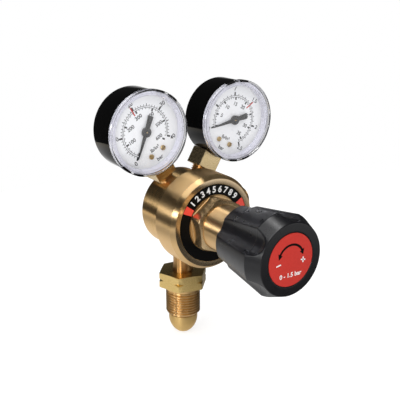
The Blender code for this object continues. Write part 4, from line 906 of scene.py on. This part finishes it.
def label_ring():
    band = rectangle(RING_BORE, RING_RADIUS, RING_REAR, BONNET_FRONT)
    dress(turned("ring_black", band, BODY_FRAME, BLACK_PRINT), "black_print", "bonnet_label_ring")
    middle_radius = (RING_BORE + RING_RADIUS) / 2
    red = Print()
    for start, end in RING_RED_CLOCKS:
        red.arc(start, end, middle_radius, (RING_RADIUS - RING_BORE) * RING_RED_SHARE)
    red.piece("ring_red", BONNET_FRONT, BODY_FRAME, RING_RED_PAINTED_SHEEN, "red_print")
    scale = Print()
    for number in range(1, 10):
        degrees = RING_NUMBER_STEP * (number - 5)
        place = clock(middle_radius, degrees)
        scale.word(str(number), place, RING_NUMBER_SIZE, -degrees, RING_NUMBER_WEIGHT)
    scale.piece("ring_numbers", BONNET_FRONT, BODY_FRAME, WHITE_PRINT, "black_print")


def inlet_nipple():
    swell = NOSE_RADIUS - NOSE_TIP_RADIUS
    reach = (NOSE_ROUND ** 2 + swell ** 2) / (2 * swell)
    arc = [(NOSE_RADIUS - reach + reach * math.cos(angle), NOSE_ROUND + reach * math.sin(angle))
           for angle in even_steps(-math.asin(NOSE_ROUND / reach), 0, NOSE_STEPS)]
    shoulder = fillet([
        (NOSE_RADIUS, NOSE_ROUND),
        (NOSE_RADIUS, NOSE_LENGTH, NOSE_SHOULDER),
        (STEM_RADIUS, NOSE_LENGTH),
    ])
    bore = [(INLET_BORE, NOSE_LENGTH), (INLET_BORE, INLET_BORE_CHAMFER), (INLET_BORE + INLET_BORE_CHAMFER, 0)]
    nose = turned("nipple_nose", bore + arc + shoulder[1:], INLET_FRAME, NOSE_BRASS, segments=128)
    dress(nose, "turned_brass")
    outline = rectangle(STEM_BORE, STEM_RADIUS, NOSE_LENGTH, NIPPLE_TOP)
    stem = turned("nipple_stem", outline, INLET_FRAME, STEM_BRASS, segments=128)
    dress(stem, "turned_brass", "inlet_nipple")


def inlet_nut():
    collar = NUT_BASE + NUT_THREAD_LENGTH
    hex_base = NUT_TOP - NUT_HEX_HEIGHT
    bore = STEM_RADIUS + CLEARANCE
    crest, _, pitch = NUT_THREAD
    rest = fillet([
        (bore, NUT_BASE),
        (crest - NUT_THREAD_CHAMFER, NUT_BASE, EDGE),
        (crest, NUT_BASE + NUT_THREAD_CHAMFER),
        (crest, collar),
        (NUT_COLLAR_RADIUS, collar + NUT_COLLAR_STEP, FINE_EDGE),
        (NUT_COLLAR_RADIUS, hex_base + CLEARANCE),
        (bore, hex_base + CLEARANCE),
    ])
    outline = refine(rest[:-1], pitch / NUT_THREAD_RINGS) + [rest[-1]]
    thread = threaded("nut_thread", outline, INLET_FRAME, NUT_THREAD, NUT_BASE, collar + NUT_THREAD_FADE,
                      segments=144)
    dress(thread, "nut_brass", "inlet_nut", body="inlet_nut")

    corner = corner_radius(NUT_HEX)
    edge = corner - NUT_CORNER_BREAK
    notch = (hex_base + NUT_TOP) / 2
    blank = [
        (bore, hex_base),
        (corner - NUT_BASE_CHAMFER, hex_base),
        (edge, hex_base + NUT_BASE_CHAMFER / 2),
        (edge, notch - NUT_NOTCH_WIDTH / 2),
        (corner - NUT_NOTCH_DEPTH, notch),
        (edge, notch + NUT_NOTCH_WIDTH / 2),
        (edge, NUT_TOP - NUT_HEX_CHAMFER),
        (NUT_HEX / 2, NUT_TOP),
        (bore + NUT_BORE_CHAMFER, NUT_TOP),
        (bore, NUT_TOP - NUT_BORE_CHAMFER),
    ]
    nut = turned("nut_hexagon", blank, INLET_FRAME, NUT_BRASS)
    nut = cut_hexagon(nut, NUT_HEX, NUT_CORNER_CLOCK, NUT_BASE, NUT_TOP + NUT_HEX)
    dress(nut, "nut_brass", body="inlet_nut")


def outlet_connector():
    hex_end = OUTLET_SHOULDER + OUTLET_HEX_LENGTH
    corner = corner_radius(OUTLET_HEX) - OUTLET_CORNER_BREAK
    flat = OUTLET_HEX / 2
    blank = [
        (OUTLET_BORE, OUTLET_INNER),
        (OUTLET_PORT_RADIUS, OUTLET_INNER),
        (OUTLET_PORT_RADIUS, OUTLET_SHOULDER),
        (flat, OUTLET_SHOULDER),
        (corner, OUTLET_SHOULDER + OUTLET_CHAMFER),
        (corner, hex_end - OUTLET_CHAMFER),
        (flat, hex_end),
        (OUTLET_BORE, hex_end),
    ]
    nut = turned("outlet_hexagon", blank, OUTLET_FRAME, SOCKET_BRASS, segments=96)
    nut = cut_hexagon(nut, OUTLET_HEX, OUTLET_CORNER_CLOCK, 0, OUTLET_END)
    dress(nut, "turned_brass", "outlet_connector")

    crest, _, pitch = OUTLET_THREAD
    rest = [
        (OUTLET_BORE, hex_end - CLEARANCE),
        (crest, hex_end - CLEARANCE),
        (crest, OUTLET_END - OUTLET_CHAMFER),
        (crest - OUTLET_CHAMFER, OUTLET_END),
        (OUTLET_SEAT_RADIUS, OUTLET_END),
        (OUTLET_BORE, OUTLET_END - OUTLET_SEAT_DEPTH),
    ]
    outline = refine(rest, pitch / THREAD_RINGS)
    thread = threaded("outlet_thread", outline, OUTLET_FRAME, OUTLET_THREAD, hex_end, OUTLET_END,
                      segments=112)
    dress(thread, "turned_brass")


# Knob
def knob_shape(angle, radius, station):
    """Cuts the knob's flutes with soft edges, and the mould's parting line across them."""
    end = KNOB_FRONT - FLUTE_END_SETBACK
    rise = (min(station, end) - KNOB_REAR) / (end - KNOB_REAR)
    floor = FLUTE_FLOOR_REAR + (FLUTE_FLOOR_FRONT - FLUTE_FLOOR_REAR) * rise
    centre = floor + FLUTE_RADIUS
    past = max(0.0, station - end)
    reach_squared = FLUTE_RADIUS ** 2 - past ** 2
    if radius < FLUTE_FLOOR_REAR - FLUTE_SOFTNESS or reach_squared <= 0:
        return radius
    pitch = math.tau / FLUTES
    offset = (math.pi / 2 - math.radians(FLUTE_CLOCK) - angle + pitch / 2) % pitch - pitch / 2
    inside = reach_squared - (centre * math.sin(offset)) ** 2
    if inside <= 0:
        return radius
    cut = centre * math.cos(offset) - math.sqrt(inside)
    parting = (station - KNOB_FRONT + MOULD_LINE_SETBACK) / MOULD_LINE_WIDTH
    cut += clamp((radius - cut) / FLUTE_SOFTNESS) * MOULD_LINE_RISE * math.exp(-parting * parting)
    near = max(FLUTE_SOFTNESS - abs(radius - cut), 0)
    return min(radius, cut) - near * near / FLUTE_SOFTNESS / 4


def knob():
    crest = KNOB_FRONT - KNOB_CREST_SETBACK
    line = KNOB_FRONT - MOULD_LINE_SETBACK
    slope = (KNOB_CREST_RADIUS - KNOB_REAR_RADIUS) / (crest - KNOB_REAR)
    line_radius = KNOB_CREST_RADIUS - slope * (crest - line)
    before = 2 * MOULD_LINE_WIDTH
    hole = DISC_RADIUS + CLEARANCE
    side = fillet([
        (KNOB_BORE, KNOB_REAR),
        (KNOB_REAR_RADIUS, KNOB_REAR, KNOB_REAR_ROUND),
        (line_radius - slope * before, line - before),
    ])
    front = fillet([
        (line_radius, line),
        (KNOB_CREST_RADIUS, crest, KNOB_CREST_ROUND),
        (KNOB_FACE_RADIUS, KNOB_FRONT, KNOB_FACE_ROUND),
        (hole + KNOB_HOLE_BREAK_WIDTH, KNOB_FRONT),
    ])
    outline = [
        *stepped(KNOB_FRONT - KNOB_HOLE_BREAK, hole, KNOB_FRONT - KNOB_RECESS, FIXING_HEAD_HOLE,
                 KNOB_WEB_FRONT, FIXING_HOLE, KNOB_WEB_REAR, SCREW_HOLE, KNOB_BORE_END, KNOB_BORE,
                 KNOB_REAR + EDGE),
        (KNOB_BORE + EDGE, KNOB_REAR),
        *refine(side[1:], KNOB_SIDE_STEP),
        *refine([side[-1], *front[:2]], MOULD_LINE_WIDTH / 3)[1:-1],
        *refine(front[1:], KNOB_FRONT_STEP),
    ]
    grip = turned("knob_grip", outline, BODY_FRAME, KNOB_PLASTIC, KNOB_SEGMENTS, knob_shape, KNOB_SHARP)
    dress(grip, "black_plastic", "knob", body="knob")
    label = turned("disc_red", disc(0, DISC_RADIUS, DISC_REAR, DISC_FRONT, FINE_EDGE), BODY_FRAME, RED_PRINT)
    dress(label, "red_print", "knob_label_disc", body="knob")
    knob_prints()


def knob_prints():
    """A turning arrow, plus and minus signs, and the range."""
    arrow = Print()
    arrow.arc(-ARROW_END, ARROW_END, ARROW_RADIUS, ARROW_LINE)
    signs = Print()
    for side in (-1, 1):
        heels = [clock(ARROW_RADIUS + barb, side * ARROW_HEEL) for barb in (-ARROW_BARB, ARROW_BARB)]
        arrow.patch([*heels, clock(ARROW_RADIUS, side * ARROW_TIP)])
        signs.bar(side * SIGN_CLOCK, SIGN_RADIUS - SIGN_LENGTH / 2, SIGN_RADIUS + SIGN_LENGTH / 2, SIGN_WIDTH)
    arrow.piece("disc_arrow", DISC_FRONT, BODY_FRAME, BLACK_PRINT, "black_print", "knob")
    plus = clock(SIGN_RADIUS, SIGN_CLOCK)
    upright = rectangle(-SIGN_WIDTH / 2, SIGN_WIDTH / 2, -SIGN_LENGTH / 2, SIGN_LENGTH / 2)
    signs.patch([plus + Vector(point) for point in upright])
    signs.word("0 - 1.5 bar", (0, -RANGE_DROP), RANGE_SIZE)
    signs.piece("disc_words", DISC_FRONT, BODY_FRAME, WHITE_PRINT, "red_print", "knob")


# Gauges
def gauge_case(prefix, place):
    inner = CASE_RADIUS - CASE_WALL
    floor = CASE_REAR + CASE_WALL
    outline = fillet([
        (0, CASE_REAR),
        (CASE_RADIUS, CASE_REAR, CASE_EDGE),
        (CASE_RADIUS, CASE_RIM, CASE_RIM_ROUND),
        (inner, CASE_RIM, CASE_RIM_ROUND),
        (inner, floor),
        (0, floor),
    ])
    dress(turned(f"{prefix}_case_cup", outline, place, ENAMEL), "black_enamel", f"{prefix}_case")


def tab_clocks(prefix):
    turn = TAB_TURNS[prefix] + math.degrees(gauge_angle(prefix))
    return [tab + turn for tab in TAB_CLOCKS]


def case_tabs(prefix, place):
    """The black tabs that hold the lens by its edge."""
    bm = bmesh.new()
    section = rectangle(LENS_RADIUS - TAB_DEPTH, LENS_RADIUS, CASE_RIM, LENS_FRONT - LENS_EDGE / 2)
    half = TAB_WIDTH / 2 - TAB_SIDE_GAP
    for tab in tab_clocks(prefix):
        sweep(section, even_steps(tab - half, tab + half, TAB_STEPS), bm)
    dress(make_object(f"{prefix}_case_tabs", bm, place, ENAMEL), "black_enamel")


def gauge_lens(prefix, place):
    """The clear window with its overhanging rim, and the paler skirt that stands on the dial."""
    window = LENS_FRONT - LENS_THICKNESS
    seam = (SKIRT_OUTER + LENS_RADIUS) / 2
    outline = fillet([
        (0, window),
        (SKIRT_OUTER, window, LENS_ROUND),
        (SKIRT_OUTER, LENS_RIM_REAR),
        (LENS_RADIUS, LENS_RIM_REAR, LENS_ROUND),
        (LENS_RADIUS, LENS_FRONT, LENS_EDGE),
        (seam + LENS_SEAM, LENS_FRONT),
        (seam, LENS_FRONT - LENS_STEP),
        (seam - LENS_SEAM, LENS_FRONT),
        (SKIRT_INNER + LENS_LIP, LENS_FRONT, LENS_ROUND),
        (SKIRT_INNER, LENS_FRONT - LENS_STEP),
        (0, LENS_FRONT - LENS_STEP),
    ])
    skirt = stepped(window - INK, SKIRT_INNER, LENS_BACK, SKIRT_OUTER, CASE_RIM + INK, FLANGE_RADIUS,
                    LENS_RIM_REAR - INK, SKIRT_OUTER - INK, window - INK)
    tabs = tab_clocks(prefix)

    def notched(angle, radius, station):
        degrees = 90 - math.degrees(angle)
        at_tab = any(abs((degrees - tab + 180) % 360 - 180) < TAB_WIDTH / 2 for tab in tabs)
        return min(radius, LENS_RADIUS - TAB_DEPTH - TAB_GAP) if at_tab else radius

    lens = turned(f"{prefix}_window", outline, place, CLEAR, LENS_SEGMENTS, notched)
    dress(lens, "clear_plastic", f"{prefix}_lens")
    dress(turned(f"{prefix}_lens_skirt", skirt, place, MILKY, LENS_SEGMENTS, notched), "clear_plastic")
    case_tabs(prefix, place)


def number_text(value):
    text = f"{value:g}"
    return text[1:] if text.startswith("0.") else text


def scale_clock(share):
    return max(SCALE_ZERO_CLOCK, SCALE_START_CLOCK + SCALE_SWEEP * share)


def bar_scale(ink, scale):
    """The outer scale: thick bars at the numbers, finer ticks between."""
    minor = scale["minor"]
    for step in range(round(scale["top"] / minor) + 1):
        degrees = scale_clock(step * minor / scale["top"])
        length, width = MINOR_TICK
        if step % round(scale["number"] / minor) == 0:
            length, width = NUMBER_TICK
            ink.word(number_text(step * minor), clock(OUTER_NUMBERS, degrees), OUTER_NUMBER_SIZE)
        elif step % round(scale["medium"] / minor) == 0:
            length, width = MEDIUM_TICK
        ink.bar(degrees, SCALE_ARC_OUTER, SCALE_ARC_OUTER + length, width)


def psi_scale(ink, scale):
    """The inner scale, in pounds."""
    for value in range(0, scale["psi_top"] + 1, scale["psi_minor"]):
        degrees = scale_clock(value / (scale["top"] * PSI_PER_BAR))
        numbered = value % scale["psi_number"] == 0
        length, width = PSI_NUMBER_TICK if numbered else PSI_MINOR_TICK
        ink.bar(degrees, SCALE_ARC_INNER - length, SCALE_ARC_INNER, width)
        if numbered and value:
            ink.word(number_text(value), clock(INNER_NUMBERS, degrees), INNER_NUMBER_SIZE)


def gauge_dial(prefix, place):
    outline = disc(DIAL_HOLE, DIAL_RADIUS, DIAL_REAR, DIAL_FACE, FINE_EDGE)
    dress(turned(f"{prefix}_dial_plate", outline, place, DIAL_WHITE), "dial_white", f"{prefix}_dial")
    scale = SCALES[prefix]
    lean = -gauge_angle(prefix)
    ink = Print()
    for radius in (SCALE_ARC_OUTER, SCALE_ARC_INNER):
        ink.arc(SCALE_ZERO_CLOCK, SCALE_START_CLOCK + SCALE_SWEEP, radius, SCALE_LINE)
    bar_scale(ink, scale)
    psi_scale(ink, scale)
    for unit, (drop, size) in UNITS.items():
        ink.word(unit, (0, -drop), size)
    ink.piece(f"{prefix}_dial_print", DIAL_FACE, place, DIAL_INK, "black_print", turn=lean)
    limit = Print()
    degrees = scale["limit_clock"] + math.degrees(lean)
    limit.bar(degrees, scale["limit_inner"], scale["limit_outer"], LIMIT_WIDTH)
    limit.piece(f"{prefix}_dial_limit", DIAL_FACE + INK, place, RED_PRINT, "red_print", turn=lean)


def dial_screw(prefix, side, label, turn):
    degrees = 180 + side * DIAL_SCREW_SPREAD + math.degrees(gauge_angle(prefix))
    place = gauge_frame(prefix) @ Matrix.Translation((*clock(DIAL_SCREW_CIRCLE, degrees), 0))
    head = SCREW_FRONT - DIAL_SCREW_HEAD
    outline = fillet([
        (0, SCREW_BACK),
        (DIAL_SCREW_SHANK, SCREW_BACK),
        (DIAL_SCREW_SHANK, head),
        (DIAL_SCREW_HEAD_RADIUS, head, FINE_EDGE),
        (DIAL_SCREW_HEAD_RADIUS, SCREW_FRONT, DIAL_SCREW_DOME),
        (0, SCREW_FRONT),
    ])
    screw = turned(f"{prefix}_screw_{label}", outline, place, SCREW_BRASS, SMALL_SEGMENTS)
    half, reach = DIAL_SCREW_SLOT / 2, 2 * DIAL_SCREW_HEAD_RADIUS
    slot = extrude(rectangle(-reach, reach, -half, half), SCREW_FRONT - DIAL_SCREW_SLOT,
                   SCREW_FRONT + DIAL_SCREW_HEAD)
    combine(screw, slot, "DIFFERENCE", place @ Matrix.Rotation(math.radians(turn), 4, "Z"))
    dress(screw, "turned_brass", f"{prefix}_dial_screw_{label}")


def pointer(prefix, place):
    body = f"{prefix}_pointer"
    turn = -math.radians(SCALE_ZERO_CLOCK) - gauge_angle(prefix)
    tip, root, tail = POINTER_TIP_WIDTH / 2, POINTER_ROOT_WIDTH / 2, POINTER_TAIL_WIDTH / 2
    outline = [(-tail, -POINTER_TAIL), (tail, -POINTER_TAIL), (root, 0), (tip, POINTER_LENGTH),
               (-tip, POINTER_LENGTH), (-root, 0)]
    rear = POINTER_REAR + POINTER_BLADE_LIFT
    bm = extrude(outline, rear, rear + POINTER_THICKNESS)
    blade = make_object(f"{body}_blade", bm, place, POINTER_BLACK, turn=turn)
    dress(soften(blade, POINTER_EDGE), "pointer_black", body, body=body)
    hub = disc(DIAL_HOLE / 2, POINTER_HUB_RADIUS, POINTER_REAR, POINTER_FRONT, POINTER_HUB_ROUND)
    dress(turned(f"{body}_hub", hub, place, POINTER_BLACK, SMALL_SEGMENTS), "pointer_black", body=body)
    pin = disc(0, POINTER_PIN_RADIUS, POINTER_REAR, POINTER_FRONT, POINTER_PIN_ROUND)
    dress(turned(f"{body}_pin", pin, place, SCREW_BRASS, segments=24), "movement_brass", body=body)


def gauge_socket(prefix):
    """The stem: block in the case, square for the spanner, and thread into the body."""
    place = stem_frame(prefix)
    half = SOCKET_SQUARE / 2
    hollow = CASE_RADIUS + CLEARANCE
    top = math.sqrt(hollow ** 2 - half ** 2) - SOCKET_SQUARE_LAP
    bm = extrude(rectangle(-half, half, -half, half), top, SOCKET_SQUARE_END)
    square = make_object(f"{prefix}_stem_square", bm, place, SOCKET_BRASS)
    room = revolve(rectangle(0, hollow, -CASE_RADIUS, CASE_RADIUS))
    combine(square, room, "DIFFERENCE", gauge_frame(prefix))
    dress(soften(square, SOCKET_SQUARE_EDGE, segments=3), "nut_brass", f"{prefix}_socket")

    root = SOCKET_SQUARE_END - SOCKET_LAP
    crest, _, pitch = SOCKET_THREAD
    rest = rectangle(0, crest, root, SOCKET_END)
    outline = [rest[0], *refine(rest[1:3], pitch / THREAD_RINGS), rest[3]]
    thread = threaded(f"{prefix}_stem_thread", outline, place, SOCKET_THREAD, SOCKET_SQUARE_END, SOCKET_END,
                      segments=80, hand=1)
    dress(thread, "nut_brass")
    waist = rectangle(0, SOCKET_WAIST_RADIUS, BLOCK_BOTTOM - SOCKET_LAP, root)
    dress(turned(f"{prefix}_stem_waist", waist, place, SOCKET_BRASS, SMALL_SEGMENTS), "nut_brass")
    outline = rectangle(-BLOCK_SIDE, BLOCK_SIDE, -BLOCK_BOTTOM, -BLOCK_TOP)
    bm = extrude(outline, BLOCK_REAR, BLOCK_FRONT)
    block = make_object(f"{prefix}_stem_block", bm, leaning_frame(prefix), SOCKET_BRASS)
    dress(soften(block), "nut_brass")


def gauge(prefix):
    place = gauge_frame(prefix)
    gauge_case(prefix, place)
    gauge_lens(prefix, place)
    gauge_dial(prefix, place)
    dial_screw(prefix, -1, "right", turn=50)
    dial_screw(prefix, 1, "left", turn=-20)
    pointer(prefix, place)
    gauge_socket(prefix)


# Springs, diaphragm and tubes
def spring(name, joint, travel, coil_radius, wire, turns):
    """A round-wire spring as long as its CAD node, with close end turns."""
    rear, front = stations(f"{name}_spring")
    end_pitch = wire + COIL_END_GAP
    pitch = (front - rear - wire - 2 * end_pitch) / (turns - 2)
    circle = [clock(wire / 2, 90 - 360 * side / WIRE_SIDES) for side in range(WIRE_SIDES)]
    sections = []
    for turn in even_steps(0, turns, round(turns * COIL_STEPS)):
        rise = end_pitch * min(turn, 1) + pitch * min(max(turn - 1, 0), turns - 2)
        rise += end_pitch * max(turn - turns + 1, 0)
        out = Vector((math.cos(math.tau * turn), math.sin(math.tau * turn), 0))
        centre = out * coil_radius + Vector((0, 0, rear + wire / 2 + rise))
        sections.append([centre + out * across + Vector((0, 0, up)) for across, up in circle])
    piece = make_object(f"{name}_coil", loft(sections), BODY_FRAME, STEEL)
    dress(piece, "steel", f"{name}_spring")
    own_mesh(piece)


def diaphragm():
    """The rubber disc in wedges, from its hole out to its rim."""
    rear, front = stations("diaphragm")
    folds = even_steps(DIAPHRAGM_PLATE_EDGE, DIAPHRAGM_RIM, DIAPHRAGM_FOLDS)
    radii = [DIAPHRAGM_HOLE, *folds, radius_of("diaphragm")]
    section = [(radius, rear) for radius in radii] + [(radius, front) for radius in reversed(radii)]
    pitch = 360 / DIAPHRAGM_WEDGES
    held = DIAPHRAGM_RIM * math.cos(math.radians(pitch / 2))
    for wedge in range(DIAPHRAGM_WEDGES):
        bm = sweep(section, even_steps(pitch * wedge, pitch * (wedge + 1), WEDGE_STEPS))
        piece = make_object(f"diaphragm_wedge_{wedge + 1}", bm, BODY_FRAME, RUBBER)
        start, end = (BODY_FRAME @ Vector((*clock(radius, pitch * (wedge + 0.5)), rear))
                      for radius in (DIAPHRAGM_PLATE_EDGE, held))
        nodes = () if wedge else ("diaphragm",)
        dress(piece, "rubber", *nodes, bend=("valve", "regulator", start, end))


def bourdon_tube(prefix):
    """The CAD's tube, copied in the movement's brass in place of the node."""
    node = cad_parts[f"{prefix}_bourdon_tube"]
    piece = add_object(f"{prefix}_curled_tube", node.data.copy())
    piece.data.materials.clear()
    piece.data.materials.append(MOVEMENT_BRASS)
    piece.matrix_world = node.matrix_world
    centre, tip = GAUGE_CENTRES[prefix], middle(f"{prefix}_tube_tip")
    bend = ("regulator", f"{prefix}_tube_tip", (centre.x, 0, centre.z), (tip.x, 0, tip.z))
    dress(piece, "turned_brass", f"{prefix}_bourdon_tube", bend=bend)


def dress_inner_nodes():
    """Gives the carried-over CAD nodes their finishes. Those not named here are brass."""
    finishes = {"inlet_filter": BRONZE, "valve_seat_pad": RUBBER}
    finishes.update(dict.fromkeys(STEEL_NODES, STEEL))
    for name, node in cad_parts.items():
        if node.hide_render:
            continue
        short = name.split("_", 1)[1] if name.startswith(("high_", "low_")) else name
        node.data.materials.clear()
        node.data.materials.append(finishes.get(short, MOVEMENT_BRASS))


# Studio
def white_world():
    """White to the camera, an even fill to rough surfaces, and dim walls with bright parts to mirrors."""
    world = bpy.data.worlds.new("studio")
    bpy.context.scene.world = world
    world.use_nodes = True
    room = Nodes(world.node_tree)
    fill = room.tree.nodes["Background"]
    white = room.node("Background")
    for background, level in ((fill, FILL_LEVEL), (white, 1.0)):
        background.inputs["Color"].default_value = (1, 1, 1, 1)
        background.inputs["Strength"].default_value = level
    mirror = room.node("Background")
    way = room.node("TexCoord").outputs["Generated"]
    glows = [room.spread(room.along(way, Vector(toward).normalized()), WALL_LEVEL, level, start, end)
             for toward, start, end, level in ROOM_GLOWS]
    room.link(room.most(*glows), mirror.inputs["Strength"])
    rays = room.node("LightPath").outputs
    roundabout = room.most(rays["Is Glossy Ray"], rays["Is Transmission Ray"])
    seen = room.choose(roundabout, white.outputs["Background"], mirror.outputs["Background"])
    sharp = room.most(rays["Is Camera Ray"], roundabout)
    shader = room.choose(sharp, fill.outputs["Background"], seen)
    room.link(shader, room.tree.nodes["World Output"].inputs["Surface"])


def floor():
    """A white floor, which mirrors see with the object's shadow painted on it, a darker ring of painted shade
    and a warm part.
    """
    bm = bmesh.new()
    edge = [clock(FLOOR_RADIUS, 360 * side / FLOOR_SIDES) for side in range(FLOOR_SIDES)]
    bm.faces.new([bm.verts.new((*(Vector(FLOOR_PLACE) + point), FLOOR_HEIGHT)) for point in edge])
    grey, other = FLOOR_GREYS
    look = Look("floor_white", grey, 1.0, Specular_IOR_Level=0.0, Emission_Color=(1, 1, 1, 1),
                Emission_Strength=FLOOR_LEVEL)
    look.vary_colour(look.noise(look.coordinates(), scale=3, detail=2), other)
    place = look.node("TexCoord").outputs["Object"]
    away = look.node("VectorMath", place, operation="LENGTH").outputs["Value"]
    bright, shade = FLOOR_MIRROR_BRIGHT, FLOOR_MIRROR_SHADE
    # Painted shadow of the object and a ring of painted shade, in the floor's glow for mirror rays
    shadow = look.spread(look.along(place, FLOOR_DIM_WAY), bright, FLOOR_MIRROR_DIM, *FLOOR_DIM_SPAN)
    ring = look.most(look.spread(away, bright, shade, *FLOOR_SHADE_SPAN),
                     look.spread(away, shade, bright, *FLOOR_SHADE_END_SPAN))
    clear = look.spread(away, 0, bright, *FLOOR_CLEAR_SPAN)
    level = look.most(look.least(shadow, ring), clear)
    warmth = look.spread(look.along(place, FLOOR_WARM_WAY), 0, 1, *FLOOR_WARM_SPAN)
    mirrored = look.node("Emission", look.blend(warmth, (1, 1, 1), FLOOR_WARM), level)
    look.instead(look.node("LightPath").outputs["Is Glossy Ray"], mirrored.outputs["Emission"])
    make_object("floor", bm, Matrix(), look.material)


def lamps():
    for name, (offset, size, power, way) in LAMPS.items():
        light = bpy.data.lights.new(name, "AREA")
        light.shape = "RECTANGLE"
        light.size, light.size_y = size
        light.energy = power
        lamp = add_object(name, light)
        lamp.location = LAMP_CENTRE + offset
        way = -offset if way is None else way
        lamp.rotation_euler = way.to_track_quat("-Z", "Y").to_euler()


def camera():
    azimuth, elevation = math.radians(CAMERA_AZIMUTH), math.radians(CAMERA_ELEVATION)
    back = Vector((math.sin(azimuth) * math.cos(elevation), -math.cos(azimuth) * math.cos(elevation),
                   math.sin(elevation)))
    turn = (-back).to_track_quat("-Z", "Y").to_matrix().to_4x4()
    data = bpy.data.cameras.new("photo_camera")
    data.sensor_width = CAMERA_SENSOR
    data.lens = CAMERA_LENS
    data.clip_start = CAMERA_CLIP
    obj = add_object("photo_camera", data)
    obj.matrix_world = (Matrix.Translation(CAMERA_PLACE) @ turn
                        @ Matrix.Rotation(math.radians(CAMERA_ROLL), 4, "Z"))
    bpy.context.scene.camera = obj


regulator_body()
bonnet()
label_ring()
inlet_nipple()
inlet_nut()
outlet_connector()
knob()
for prefix in GAUGE_CENTRES:
    gauge(prefix)
    bourdon_tube(prefix)
for name, sizes in SPRINGS.items():
    spring(name, *sizes)
diaphragm()
dress_inner_nodes()
white_world()
floor()
lamps()
camera()
bpy.context.scene.view_settings.view_transform = "Standard"
